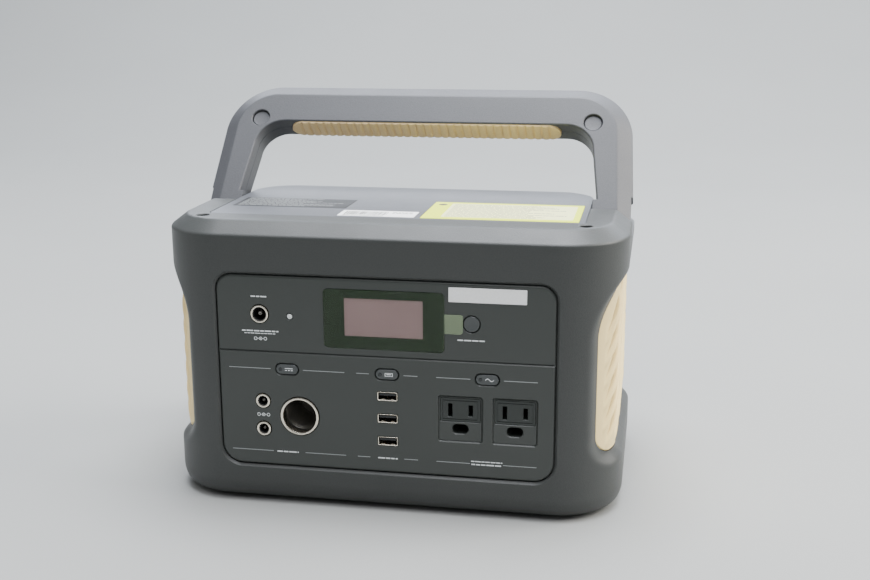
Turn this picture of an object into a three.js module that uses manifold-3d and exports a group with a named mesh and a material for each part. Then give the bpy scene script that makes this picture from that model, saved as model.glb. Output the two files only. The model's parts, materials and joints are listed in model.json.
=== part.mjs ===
// A portable power station: a charcoal plastic case with tan side grilles, a front panel of
// sockets and push buttons, a folding carrying handle, and the battery, inverter and fan inside.
// Millimetres. +X is right, +Y is towards the back, +Z is up. The origin is on the ground under
// the middle of the case. The handle stands leaning back, part way between folded and upright.
import * as THREE from "three";
import { mergeVertices } from "three/addons/utils/BufferGeometryUtils.js";
import Module from "manifold-3d";

const wasm = await Module();
wasm.setup();

// ---------------------------------------------------------------- driving dimensions
const GAP = 0.3; // between neighbouring solids
const ARC_STEPS = 6; // straight steps in each quarter of a large corner

const CASE = {
  halfWidth: 146,
  halfDepth: 96.6,
  cornerRadius: 42,
  bottom: 3,
  bottomInset: 5,
  turnUp: 8.5,
  shoulder: 174.3,
  top: 182.2,
  bevelInset: 10.6,
  seam: -14, // front and rear shells meet here
  ledge: 161.5, // floor of the channel that the folded handle lies in
  floor: 6,
  roof: 176.5,
  wall: 3,
  frontWall: 6,
};

const WAIST = {
  depth: 5.3,
  low: 32,
  high: 155,
  edge: 91.4, // distance of its front and rear outer edges from the middle of the case
  lowRadius: 18,
  highRadius: 41,
  lip: 7.5, // height of the sloped border round the side panel
  lipSpread: 1.2, // the border is wider than this height at the corners of the case
  panelThickness: 2.4,
};

const DECK = { halfWidth: 119, front: -67, back: 50, thickness: 2.2, backRadius: 27, frontRadius: 4 };

const HANDLE = {
  pivotY: 1.5,
  pivotZ: 176.6,
  leanDegrees: 53, // angle from folded flat to the position modelled
  face: 5.6, // front face above the pivot axis, measured square to the handle
  back: -14.1,
  split: -3,
  reach: 95.1, // pivot axis to the outermost edge of the bar
  barInner: 63,
  outerRadius: 38,
  innerRadius: 19,
  hubRadius: 14.1,
  pinRadius: 2.5,
  pinInset: 8, // the pins reach this far inside the deck
};

const FASCIA = {
  halfWidth: 105.6,
  low: 26.2,
  high: 149.8,
  topRadius: 10,
  lowRadius: 13,
  front: -95.9,
  thickness: 2.6,
  groove: 0.9,
  dividerZ: 101.5,
};

const WINDOW = { x0: -37, x1: 38, z0: 105.7, z1: 143, radius: 3 };
const SCREEN = { x0: -24, x1: 25, z0: 113.6, z1: 137.6 };
const FILM_TAB = { x1: 49.5, z0: 118, z1: 130 };
const NAME_PLATE = { x0: 40.7, x1: 87.8, z0: 137.9, z1: 146.9 };
const DISPLAY_BUTTON = { x: 54.7, z: 124.5, radius: 4.9 };
const PILL_Z = 90.1;
const PILL = { halfLength: 7, halfHeight: 3.2, gap: 0.5 };
const PILLS = { dc_button: -61.4, usb_button: 2.2, ac_button: 64.4 };
const INPUT_JACK = { x: -77.8, z: 125.2, outer: 5.65, bore: 4, pin: 1.3, depth: 13 };
const DC_JACK = { x: -77.6, outer: 4.6, bore: 2.8, pin: 1, depth: 12 };
const DC_JACK_Z = { dc_jack_upper: 68.8, dc_jack_lower: 50.4 };
const CHARGE_LIGHT = { x: -58.6, z: 124.2, radius: 1.75 };
const CAR_SOCKET = { x: -54, z: 59.8, outer: 12.4, bore: 10.5, depth: 40 };
const USB = { x: 2.4, halfWidth: 6.25, halfHeight: 2.75, depth: 14 };
const USB_Z = { usb_port_top: 76.1, usb_port_middle: 61.7, usb_port_bottom: 46.9 };
const OUTLET = {
  halfWidth: 13.2,
  low: 49.8,
  high: 78,
  stepHalfWidth: 12.6,
  stepLow: 62,
  stepHigh: 77.4,
  bladeHalfSpacing: 6.35,
  bladeZ: 69.3,
  groundZ: 57.4,
  depth: 24,
};
const OUTLET_X = { ac_outlet_left: 47.8, ac_outlet_right: 81.4 };

const FEET = { x: 105, y: 70, radius: 11, height: 3.7 };
const TOP_SCREW = { x: 120, y: -74, hole: 4, radius: 3.2, low: 178.9, high: 180.6 };
const REAR_SCREW = { x: 96, low: 20, high: 148, hole: 4.5, depth: 2, radius: 3.6, thickness: 1.3 };

const SLOT = {
  count: 9,
  pitch: 14,
  firstMiddle: 38,
  height: 3,
  margin: 8, // left plain between the ends of the slots and the panel's edge
  run: 78,
  rise: 33,
  level: 6,
};

const LEG = {
  baseInner: 123.5,
  topInner: 117.5,
  baseOuter: 146,
  topOuter: 143.2,
  notchWidth: 1.8,
  notchLength: 13,
  backBevel: 3,
  bossRadius: 9,
};

const PLUG = { x: 116.5, y: 65.3, recess: 6.3, depth: 1.6, length: 5 };
const GRIP = { halfLength: 95, halfWidth: 8.8, pocket: 2, proud: 2, radius: 8.7 };

const BATTERY = { x0: -84, x1: 84, y0: -48, y1: 62, z0: 10, z1: 80, cells: 9, capOver: 1.5, capHeight: 4 };
const TRAY = { wall: 5, height: 12 };
const CONTROL_BOARD = { x0: -98, x1: 98, y0: -80.5, y1: -78.9, z0: 83, z1: 143 };
const BATTERY_BOARD = { x0: -80, x1: 10, y0: -40, y1: 56, z0: 84, z1: 85.6 };
const INVERTER_BOARD = { x0: 20, x1: 100, y0: -44, y1: 60, z0: 86, z1: 87.6 };
const CAPACITOR = { count: 3, x: 30, y: 50, pitch: 17, radius: 7, top: 105 };
const TRANSFORMER = { x0: 24, x1: 56, y0: -38, y1: 4, z0: 88, z1: 124, core: 8 };
const HEAT_SINK = { x0: 64, x1: 98, y0: -38, y1: 36, z0: 88, base: 4, height: 34, fins: 8, fin: 1.8 };
const FAN = { x0: 108, x1: 128, y: 6, z: 122, half: 30, bore: 28, hub: 11, blades: 7 };

// ---------------------------------------------------------------- materials
function plastic(color, roughness) {
  return new THREE.MeshStandardMaterial({ color, roughness, metalness: 0 });
}

function metal(color, roughness) {
  return new THREE.MeshStandardMaterial({ color, roughness, metalness: 1 });
}

const CHARCOAL = plastic(0x42464a, 0.7);
const FASCIA_BLACK = plastic(0x34383a, 0.6);
const TAN = plastic(0xe3c9a4, 0.6);
const GRIP_TAN = plastic(0xae9169, 0.7);
const BLACK = plastic(0x17181a, 0.5);
const RUBBER = plastic(0x151515, 0.9);
const NICKEL = metal(0xd8d2c6, 0.25);
const STEEL = metal(0x8d9093, 0.4);
const GLASS = plastic(0x283428, 0.15);
const SCREEN_GREY = plastic(0x968080, 0.3);
const FILM_GREEN = plastic(0x4d6a48, 0.2);
const PAPER = plastic(0xf4f4f0, 0.6);
const YELLOW = plastic(0xebf582, 0.6);
const BOARD_GREEN = plastic(0x1d5a34, 0.5);
const CELL_WRAP = plastic(0x2f6fae, 0.4);
const ALUMINIUM = metal(0xb9bcc0, 0.35);
const COPPER = metal(0xb06a3a, 0.4);
const LIGHT_WHITE = plastic(0xe8eee8, 0.3);

// ---------------------------------------------------------------- solids from geometry
function signedVolume(positions, triangles) {
  const [a, b, c] = [new THREE.Vector3(), new THREE.Vector3(), new THREE.Vector3()];
  let volume = 0;
  for (let i = 0; i < triangles.length; i += 3) {
    a.fromArray(positions, 3 * triangles[i]);
    b.fromArray(positions, 3 * triangles[i + 1]);
    c.fromArray(positions, 3 * triangles[i + 2]);
    volume += a.dot(b.cross(c)) / 6;
  }
  return volume;
}

function solid(geometry) {
  const bare = geometry.clone();
  bare.deleteAttribute("normal");
  bare.deleteAttribute("uv");
  const merged = mergeVertices(bare, 1e-4);
  const positions = Float32Array.from(merged.attributes.position.array);
  const kept = [];
  const index = merged.index.array;
  for (let i = 0; i < index.length; i += 3) {
    const [a, b, c] = [index[i], index[i + 1], index[i + 2]];
    if (a !== b && b !== c && c !== a) kept.push(a, b, c);
  }
  if (signedVolume(positions, kept) < 0) kept.reverse();
  const mesh = new wasm.Mesh({
    numProp: 3,
    vertProperties: positions,
    triVerts: Uint32Array.from(kept),
  });
  return new wasm.Manifold(mesh);
}

function geometryOf(piece) {
  const mesh = piece.getMesh();
  const geometry = new THREE.BufferGeometry();
  geometry.setAttribute("position", new THREE.BufferAttribute(Float32Array.from(mesh.vertProperties), 3));
  geometry.setIndex(new THREE.BufferAttribute(Uint32Array.from(mesh.triVerts), 1));
  geometry.computeVertexNormals();
  return geometry;
}

function join(...pieces) {
  return pieces.reduce((whole, piece) => whole.add(piece));
}

function cut(piece, ...tools) {
  return tools.reduce((rest, tool) => rest.subtract(tool), piece);
}

// ---------------------------------------------------------------- shapes and prisms
function block(x0, x1, y0, y1, z0, z1) {
  const geometry = new THREE.BoxGeometry(x1 - x0, y1 - y0, z1 - z0);
  geometry.translate((x0 + x1) / 2, (y0 + y1) / 2, (z0 + z1) / 2);
  return solid(geometry);
}

// Rectangle with a radius for each corner: low-left, low-right, high-right, high-left.
function roundedRectangle(u0, u1, v0, v1, [r0, r1, r2, r3]) {
  const shape = new THREE.Shape();
  shape.moveTo(u0 + r0, v0);
  shape.lineTo(u1 - r1, v0);
  shape.absarc(u1 - r1, v0 + r1, r1, -Math.PI / 2, 0, false);
  shape.lineTo(u1, v1 - r2);
  shape.absarc(u1 - r2, v1 - r2, r2, 0, Math.PI / 2, false);
  shape.lineTo(u0 + r3, v1);
  shape.absarc(u0 + r3, v1 - r3, r3, Math.PI / 2, Math.PI, false);
  shape.lineTo(u0, v0 + r0);
  shape.absarc(u0 + r0, v0 + r0, r0, Math.PI, Math.PI * 1.5, false);
  return shape;
}

function evenRectangle(u0, u1, v0, v1, radius) {
  return roundedRectangle(u0, u1, v0, v1, [radius, radius, radius, radius]);
}

function circle(u, v, radius) {
  const shape = new THREE.Shape();
  shape.absarc(u, v, radius, 0, Math.PI * 2, false);
  return shape;
}

function extrude(shape, depth, steps) {
  return new THREE.ExtrudeGeometry(shape, { depth, bevelEnabled: false, curveSegments: steps });
}

function prismZ(shape, z0, z1, steps = 4) {
  return solid(extrude(shape, z1 - z0, steps).translate(0, 0, z0));
}

// The shape's first axis is X and its second is Z.
function prismY(shape, y0, y1, steps = 4) {
  return solid(extrude(shape, y1 - y0, steps).rotateX(Math.PI / 2).translate(0, y1, 0));
}

const YZ_TO_SPACE = new THREE.Matrix4().makeBasis(
  new THREE.Vector3(0, 1, 0),
  new THREE.Vector3(0, 0, 1),
  new THREE.Vector3(1, 0, 0),
);

// The shape's first axis is Y and its second is Z.
function prismX(shape, x0, x1, steps = 4) {
  return solid(extrude(shape, x1 - x0, steps).applyMatrix4(YZ_TO_SPACE).translate(x0, 0, 0));
}

function rodX(x0, x1, y, z, radius, steps = 8) {
  return prismX(circle(y, z, radius), x0, x1, steps);
}

function rodY(x, z, y0, y1, radius, steps = 10) {
  return prismY(circle(x, z, radius), y0, y1, steps);
}

function rodZ(x, y, z0, z1, radius, steps = 8) {
  return prismZ(circle(x, y, radius), z0, z1, steps);
}

// A turned piece about a line parallel to Y. The profile's points are [radius, y].
function turnedY(x, z, profile, steps = 32) {
  const points = profile.map(([radius, y]) => new THREE.Vector2(radius, y));
  return solid(new THREE.LatheGeometry(points, steps).translate(x, 0, z));
}

// Closed surface through rings of points, all with the same number of points.
function loft(rings) {
  const count = rings[0].length;
  const positions = rings.flat().flatMap((point) => [point.x, point.y, point.z]);
  const index = [];
  for (let level = 0; level + 1 < rings.length; level += 1) {
    for (let i = 0; i < count; i += 1) {
      const next = (i + 1) % count;
      const [a, b] = [level * count + i, level * count + next];
      index.push(a, b, b + count, a, b + count, a + count);
    }
  }
  const flat = (ring) => ring.map((point) => new THREE.Vector2(point.x, point.y));
  const last = (rings.length - 1) * count;
  for (const [a, b, c] of THREE.ShapeUtils.triangulateShape(flat(rings[0]), [])) {
    index.push(c, b, a);
  }
  for (const [a, b, c] of THREE.ShapeUtils.triangulateShape(flat(rings.at(-1)), [])) {
    index.push(last + a, last + b, last + c);
  }
  const geometry = new THREE.BufferGeometry();
  geometry.setAttribute("position", new THREE.BufferAttribute(Float32Array.from(positions), 3));
  geometry.setIndex(index);
  return solid(geometry);
}

// ---------------------------------------------------------------- case outline
// How far the waist recess's edge lies from the middle of the case at height z. An inset of zero
// gives the outer edge of its sloped border, and an inset of WAIST.lip gives the inner edge.
function waistEdge(z, inset) {
  const low = WAIST.low + inset;
  const high = WAIST.high - inset;
  const edge = WAIST.edge - inset * WAIST.lipSpread;
  const lowRadius = WAIST.lowRadius - inset / 2;
  const highRadius = WAIST.highRadius - inset;
  const height = THREE.MathUtils.clamp(z, low, high);
  const drop = Math.max(0, low + lowRadius - height);
  const rise = Math.max(0, height - high + highRadius);
  if (drop > 0) return edge - lowRadius + Math.sqrt(Math.max(0, lowRadius ** 2 - drop ** 2));
  return edge - highRadius + Math.sqrt(Math.max(0, highRadius ** 2 - rise ** 2));
}

// Depth of the waist recess at height z, on the flat of the side.
function waistDepth(z) {
  const inside = Math.min(z - WAIST.low, WAIST.high - z) / WAIST.lip;
  return WAIST.depth * THREE.MathUtils.clamp(inside, 0, 1);
}

// Point on the right-hand side of the case outline at depth y, moved in by an inset.
function sidePoint(y, inset) {
  const straight = CASE.halfDepth - CASE.cornerRadius;
  const radius = CASE.cornerRadius - inset;
  const over = THREE.MathUtils.clamp(Math.abs(y) - straight, 0, radius);
  const x = CASE.halfWidth - CASE.cornerRadius + Math.sqrt(radius ** 2 - over ** 2);
  return [x, Math.sign(y) * (Math.min(Math.abs(y), straight) + over)];
}

// One level of the case: the right front quarter of the outline, mirrored twice.
function caseLevel(z, inset) {
  const straight = CASE.halfDepth - CASE.cornerRadius;
  const centreX = CASE.halfWidth - CASE.cornerRadius;
  const radius = CASE.cornerRadius - inset;
  const innerEdge = waistEdge(z, WAIST.lip);
  const endAngle = Math.asin((waistEdge(z, 0) - straight) / CASE.cornerRadius);
  const quarter = [];
  for (let i = 0; i <= ARC_STEPS; i += 1) {
    const angle = Math.PI / 2 + (endAngle - Math.PI / 2) * (i / ARC_STEPS);
    quarter.push([centreX + radius * Math.cos(angle), -straight - radius * Math.sin(angle)]);
  }
  for (let i = 0; i <= ARC_STEPS; i += 1) {
    quarter.push(sidePoint(-innerEdge * (1 - i / ARC_STEPS), inset + waistDepth(z)));
  }
  const right = quarter.concat(quarter.slice(0, -1).reverse().map(([x, y]) => [x, -y]));
  const left = right.slice().reverse().map(([x, y]) => [-x, y]);
  return right.concat(left).map(([x, y]) => new THREE.Vector3(x, y, z));
}

function outerCase() {
  const { lip, low, high, lowRadius, highRadius } = WAIST;
  const bendStart = high - highRadius;
  const lowLevels = [low, low + lip / 2, low + lip, low + lowRadius];
  const highLevels = [0, 0.3, 0.55, 0.75, 0.9, 1].map((part) => bendStart + part * highRadius);
  const rings = [caseLevel(CASE.bottom, CASE.bottomInset), caseLevel(CASE.turnUp, 0)];
  for (const z of lowLevels.concat(highLevels)) rings.push(caseLevel(z, 0));
  rings.push(caseLevel(CASE.shoulder, 0), caseLevel(CASE.top, CASE.bevelInset));
  return loft(rings);
}

// Rounded rectangle ring used inside the case.
function cavityRing(z, halfWidth, front, back, radius) {
  const shape = evenRectangle(-halfWidth, halfWidth, front, back, radius);
  return shape.getPoints(ARC_STEPS / 2).slice(0, -1).map((point) => new THREE.Vector3(point.x, point.y, z));
}

function cavity() {
  const { halfWidth, halfDepth, frontWall, wall, floor, roof, ledge, seam } = CASE;
  const front = -halfDepth + frontWall;
  const back = halfDepth - wall;
  const wide = halfWidth - wall;
  const narrow = halfWidth - WAIST.depth - WAIST.panelThickness - GAP;
  const shrink = 10;
  const rings = [
    cavityRing(floor, wide - 2, front + 2, back - 2, 40),
    cavityRing(WAIST.low - 6, wide, front, back, 40),
    cavityRing(WAIST.low - 1, narrow, front, back, 40),
    cavityRing(WAIST.high + 1, narrow, front, back, 40),
    cavityRing(ledge + 4, narrow, front, back, 40),
    cavityRing(roof, narrow - shrink, front + shrink, back, 34),
  ];
  const plateauInside = prismZ(deckShape(-wall, 0), ledge - wall - 1, roof + 1);
  const behindShoulder = block(-200, 200, seam - wall, 200, ledge - wall, roof + 2);
  return cut(loft(rings), cut(behindShoulder, plateauInside));
}

// Outline of the raised deck between the handle's legs. It can be grown, and its front moved.
function deckShape(grow, frontGrow) {
  const { halfWidth, front, back, backRadius, frontRadius } = DECK;
  const radii = [frontRadius, frontRadius, backRadius + grow, backRadius + grow];
  return roundedRectangle(-halfWidth - grow, halfWidth + grow, front - frontGrow, back + grow, radii);
}

// The side panel's outline, looking along X: inner edge of the waist recess, moved in by a gap.
function panelShape(gap) {
  const inset = WAIST.lip + gap;
  const low = WAIST.low + inset;
  const high = WAIST.high - inset;
  const edge = WAIST.edge - WAIST.lip * WAIST.lipSpread - gap;
  const lowRadius = WAIST.lowRadius - inset / 2;
  const highRadius = WAIST.highRadius - inset;
  return roundedRectangle(-edge, edge, low, high, [lowRadius, lowRadius, highRadius, highRadius]);
}

// ---------------------------------------------------------------- case shells and covers
function fasciaShape(grow) {
  const { halfWidth, low, high, topRadius, lowRadius } = FASCIA;
  const radii = [lowRadius + grow, lowRadius + grow, topRadius + grow, topRadius + grow];
  return roundedRectangle(-halfWidth - grow, halfWidth + grow, low - grow, high + grow, radii);
}

function panelOpening(side) {
  const outside = side * (CASE.halfWidth + 10);
  const inside = side * 90;
  return prismX(panelShape(0), Math.min(outside, inside), Math.max(outside, inside), 6);
}

function footRecess(x, y) {
  return rodZ(x, y, -1, FEET.height + GAP, FEET.radius + GAP, 12);
}

function frontShell(outer, inner) {
  const { groove, thickness, front } = FASCIA;
  const shell = cut(outer.intersect(block(-200, 200, -200, CASE.seam, -10, 300)), inner);
  const back = front + thickness + GAP;
  const recess = prismY(fasciaShape(groove), -110, back, 6);
  const opening = prismY(fasciaShape(-5), -110, -80, 6);
  const deckSeat = prismZ(deckShape(GAP, GAP), CASE.top - DECK.thickness - GAP, 200, 6);
  const screws = [-1, 1].map((side) => {
    return rodZ(side * TOP_SCREW.x, TOP_SCREW.y, TOP_SCREW.low - GAP, 200, TOP_SCREW.hole);
  });
  const feet = [-1, 1].map((side) => footRecess(side * FEET.x, -FEET.y));
  return cut(shell, recess, opening, deckSeat, panelOpening(1), panelOpening(-1), ...screws, ...feet);
}

function rearShell(outer, inner) {
  const { seam, ledge, top, halfDepth } = CASE;
  const behind = block(-200, 200, seam + GAP, 200, -10, 300);
  const lower = outer.intersect(behind).intersect(block(-200, 200, -200, 200, -10, ledge));
  const plateau = prismZ(deckShape(0, 0), ledge - 1, top - DECK.thickness - GAP, 6).intersect(behind);
  const shell = cut(join(lower, plateau), inner);
  const pinHoles = [-1, 1].map((side) => {
    const ends = [side * (DECK.halfWidth - HANDLE.pinInset - GAP), side * 130];
    return rodX(Math.min(...ends), Math.max(...ends), HANDLE.pivotY, HANDLE.pivotZ, HANDLE.pinRadius + GAP);
  });
  const feet = [-1, 1].map((side) => footRecess(side * FEET.x, FEET.y));
  const screws = [];
  for (const x of [-REAR_SCREW.x, REAR_SCREW.x]) {
    for (const z of [REAR_SCREW.low, REAR_SCREW.high]) {
      screws.push(rodY(x, z, halfDepth - REAR_SCREW.depth, 200, REAR_SCREW.hole, 8));
    }
  }
  return cut(shell, panelOpening(1), panelOpening(-1), ...pinHoles, ...feet, ...screws);
}

function labelPocket([x0, x1, y0, y1]) {
  return block(x0 - GAP, x1 + GAP, y0 - GAP, y1 + GAP, CASE.top - 0.5, CASE.top + 5);
}

const LABELS = {
  rating_label: { area: [-113, -37, -38, -6], material: BLACK },
  stock_label: { area: [-36, 13, -63, -44], material: PAPER },
  notice_label: { area: [17, 115, -64, -5], material: YELLOW },
};

function topPlate() {
  const plate = prismZ(deckShape(0, 0), CASE.top - DECK.thickness, CASE.top, 6);
  return cut(plate, ...Object.values(LABELS).map((label) => labelPocket(label.area)));
}

function label([x0, x1, y0, y1]) {
  return block(x0, x1, y0, y1, CASE.top - 0.2, CASE.top + 0.1);
}

// Height of a slot of the side grille against its middle: steep at both ends and nearly level between.
function slotHeight(y) {
  const along = y / SLOT.run;
  return SLOT.rise * along ** 3 + SLOT.level * along;
}

function slotShape(middle) {
  const steps = 10;
  const ys = Array.from({ length: steps + 1 }, (_, i) => -SLOT.run + (2 * SLOT.run * i) / steps);
  const lower = ys.map((y) => new THREE.Vector2(y, middle + slotHeight(y) - SLOT.height / 2));
  const upper = ys.map((y) => new THREE.Vector2(y, middle + slotHeight(y) + SLOT.height / 2));
  return new THREE.Shape(lower.concat(upper.reverse()));
}

function sidePanel(side) {
  const { depth, panelThickness } = WAIST;
  const ring = (inset, z) => {
    const points = [];
    const limit = CASE.halfDepth - CASE.cornerRadius + 32;
    const steps = 14;
    for (let i = 0; i <= steps; i += 1) {
      const [x, y] = sidePoint(-limit * Math.cos((Math.PI * i) / steps), inset);
      points.push(new THREE.Vector3(x, y, z));
    }
    points.push(new THREE.Vector3(60, limit, z), new THREE.Vector3(60, -limit, z));
    return points;
  };
  const outerSkin = loft([ring(depth, 20), ring(depth, 170)]);
  const innerSkin = loft([ring(depth + panelThickness, 10), ring(depth + panelThickness, 180)]);
  const skin = cut(outerSkin, innerSkin, block(0, 61, -200, 200, 0, 200));
  const grilleArea = prismX(panelShape(SLOT.margin), 60, 200, 3);
  const slots = Array.from({ length: SLOT.count }, (_, k) => {
    return prismX(slotShape(SLOT.firstMiddle + SLOT.pitch * k), 60, 200);
  });
  const panel = skin.intersect(prismX(panelShape(GAP), 110, 200, 6));
  const grille = cut(panel, join(...slots).intersect(grilleArea));
  return side > 0 ? grille : grille.mirror([1, 0, 0]);
}

// ---------------------------------------------------------------- front panel
function pillShape(x, z, grow) {
  const { halfLength, halfHeight } = PILL;
  const [u, v] = [halfLength + grow, halfHeight + grow];
  return evenRectangle(x - u, x + u, z - v, z + v, v - 0.01);
}

function windowShape(grow) {
  const { x0, x1, z0, z1, radius } = WINDOW;
  return evenRectangle(x0 - grow, x1 + grow, z0 - grow, z1 + grow, radius + grow);
}

function frontPanel() {
  const { front, thickness, dividerZ, halfWidth } = FASCIA;
  const plate = prismY(fasciaShape(0), front, front + thickness, 6);
  const through = (shape, steps) => prismY(shape, front - 5, front + thickness + 5, steps);
  const hole = (x, z, radius) => through(circle(x, z, radius + GAP), 10);
  const { x0, x1, z0, z1 } = NAME_PLATE;
  const wide = halfWidth + 5;
  const divider = block(-wide, wide, front - 5, front + 0.6, dividerZ - 0.4, dividerZ + 0.4);
  const cuts = [
    divider,
    block(x0 - GAP, x1 + GAP, front - 5, front + 0.4, z0 - GAP, z1 + GAP),
    through(windowShape(GAP), 3),
    hole(DISPLAY_BUTTON.x, DISPLAY_BUTTON.z, DISPLAY_BUTTON.radius + 0.3),
    hole(INPUT_JACK.x, INPUT_JACK.z, INPUT_JACK.outer),
    hole(CHARGE_LIGHT.x, CHARGE_LIGHT.z, CHARGE_LIGHT.radius),
    hole(CAR_SOCKET.x, CAR_SOCKET.z, CAR_SOCKET.outer),
  ];
  for (const z of Object.values(DC_JACK_Z)) cuts.push(hole(DC_JACK.x, z, DC_JACK.outer));
  for (const x of Object.values(PILLS)) cuts.push(through(pillShape(x, PILL_Z, PILL.gap), 5));
  for (const z of Object.values(USB_Z)) cuts.push(through(usbShape(z, GAP), 1));
  for (const x of Object.values(OUTLET_X)) cuts.push(through(outletShape(x, GAP), 2));
  return cut(plate, ...cuts);
}

function displayWindow() {
  const { front } = FASCIA;
  return prismY(windowShape(0), front, front + 2);
}

function displayModule() {
  const { x0, x1, z0, z1 } = WINDOW;
  const { front } = FASCIA;
  const { x0: sx0, x1: sx1, z0: sz0, z1: sz1 } = SCREEN;
  const frame = block(x0 + 2, x1 - 2, front + 4, front + 10, z0 + 2, z1 - 2);
  return join(frame, block(sx0, sx1, front + 2.4, front + 5, sz0, sz1));
}

function displayFilm() {
  const { front } = FASCIA;
  const back = front - GAP;
  const { x1, z0, z1 } = FILM_TAB;
  const sheet = prismY(windowShape(0), back - 0.2, back, 3);
  const tab = block(WINDOW.x1 - 1, x1 + 2, back - 0.2, back, z0, z1);
  const hole = rodY(DISPLAY_BUTTON.x, DISPLAY_BUTTON.z, back - 1, back + 1, DISPLAY_BUTTON.radius + 1.2);
  return cut(join(sheet, tab), hole, block(x1, x1 + 20, back - 1, back + 1, z0 - 5, z1 + 5));
}

function namePlate() {
  const { x0, x1, z0, z1 } = NAME_PLATE;
  return prismY(evenRectangle(x0, x1, z0, z1, 0.6), FASCIA.front - 0.2, FASCIA.front + 0.1, 2);
}

// Rod along Y whose front edge is bevelled.
function softEndedRod(x, z, radius, front, length, bevel) {
  const back = front + length;
  const profile = [[0, front], [radius - bevel, front], [radius, front + bevel], [radius, back], [0, back]];
  return turnedY(x, z, profile, 16);
}

function displayButton() {
  const { x, z, radius } = DISPLAY_BUTTON;
  return softEndedRod(x, z, radius, FASCIA.front - 0.1, 7, 0.6);
}

function pillButton(x) {
  const front = FASCIA.front - 0.1;
  return prismY(pillShape(x, PILL_Z, 0), front, front + 7, 5);
}

function chargeLight() {
  const { x, z, radius } = CHARGE_LIGHT;
  return softEndedRod(x, z, radius, FASCIA.front - 0.2, 6, 0.5);
}

// Round jack with a centre pin in a blind bore.
function roundJack(x, z, jack) {
  const { outer, bore, pin, depth } = jack;
  const front = FASCIA.front - 0.6;
  const profile = [
    [0, front + 2],
    [pin, front + 2],
    [pin, front + depth - 2],
    [bore, front + depth - 2],
    [bore, front + 0.5],
    [bore + 0.4, front],
    [outer - 0.5, front],
    [outer, front + 0.6],
    [outer, front + depth],
    [0, front + depth],
  ];
  return turnedY(x, z, profile, 16);
}

function carSocket() {
  const { x, z, outer, bore, depth } = CAR_SOCKET;
  const front = FASCIA.front - 0.7;
  const profile = [
    [3.2, front + depth - 3],
    [bore, front + depth - 3],
    [bore, front + 0.8],
    [bore + 0.7, front],
    [outer - 0.6, front],
    [outer, front + 0.8],
    [outer, front + depth],
    [3.2, front + depth],
    [3.2, front + depth - 3],
  ];
  return turnedY(x, z, profile, 24);
}

function carSocketContact() {
  const { x, z, depth } = CAR_SOCKET;
  const end = FASCIA.front + depth;
  const profile = [[0, end - 8], [2, end - 8], [2.8, end - 7], [2.8, end + 2], [0, end + 2]];
  return turnedY(x, z, profile, 16);
}

function usbShape(z, grow) {
  const { x, halfWidth, halfHeight } = USB;
  const [u, v] = [halfWidth + grow, halfHeight + grow];
  return evenRectangle(x - u, x + u, z - v, z + v, 0.5);
}

function usbPort(z) {
  const { x, halfWidth, halfHeight, depth } = USB;
  const front = FASCIA.front - 0.2;
  const shell = prismY(usbShape(z, 0), front, front + depth, 1);
  const wall = 0.6;
  const [u, v] = [halfWidth - wall, halfHeight - wall];
  const hollow = block(x - u, x + u, front - 1, front + 11, z - v, z + v);
  const tongue = block(x - 5, x + 5, front + 1, front + 12, z + 0.1, z + 1.5);
  return join(cut(shell, hollow), tongue);
}

function outletShape(x, grow) {
  const { halfWidth, low, high } = OUTLET;
  return evenRectangle(x - halfWidth - grow, x + halfWidth + grow, low - grow, high + grow, 1.4);
}

// Two-blade outlet with a ground hole: the left blade slot is the taller one.
function acOutlet(x) {
  const { stepHalfWidth, stepLow, stepHigh, bladeHalfSpacing, bladeZ, groundZ, depth } = OUTLET;
  const front = FASCIA.front + 0.6;
  const body = prismY(outletShape(x, 0), front, front + depth, 2);
  const stepShape = evenRectangle(x - stepHalfWidth, x + stepHalfWidth, stepLow, stepHigh, 1.2);
  const step = prismY(stepShape, front - 1, front + 0.8, 2);
  const slot = (u, halfHeight) => {
    const [u0, u1] = [x + u - 1.3, x + u + 1.3];
    return block(u0, u1, front - 1, front + 16, bladeZ - halfHeight, bladeZ + halfHeight);
  };
  const groundShape = evenRectangle(x - 5, x + 5, groundZ - 3, groundZ + 3, 2.9);
  const ground = prismY(groundShape, front - 1, front + 17, 4);
  return cut(body, step, slot(-bladeHalfSpacing, 4.2), slot(bladeHalfSpacing, 3.5), ground);
}

// ---------------------------------------------------------------- handle
// Drawn folded flat, with the pivot axis along X through its origin and the bar towards +Y.
function legInner(y) {
  return LEG.baseInner + (LEG.topInner - LEG.baseInner) * (y / HANDLE.barInner);
}

function handleOutline(inset) {
  const { reach, outerRadius } = HANDLE;
  const radius = outerRadius - inset;
  const top = reach - inset;
  const base = LEG.baseOuter - inset;
  const upper = LEG.topOuter - inset;
  const shape = new THREE.Shape();
  shape.moveTo(-base, -20);
  shape.lineTo(base, -20);
  shape.lineTo(base, 0);
  shape.lineTo(upper, top - radius);
  shape.absarc(upper - radius, top - radius, radius, 0, Math.PI / 2, false);
  shape.lineTo(radius - upper, top);
  shape.absarc(radius - upper, top - radius, radius, Math.PI / 2, Math.PI, false);
  shape.lineTo(-base, 0);
  return shape.getPoints(ARC_STEPS);
}

function handleBlank() {
  const { face, back } = HANDLE;
  const bevelDepth = CASE.top - CASE.shoulder;
  const level = (inset, z) => handleOutline(inset).map((point) => new THREE.Vector3(point.x, point.y, z));
  return loft([
    level(LEG.backBevel, back),
    level(0, back + LEG.backBevel),
    level(0, face - bevelDepth),
    level(CASE.bevelInset, face),
  ]);
}

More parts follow.
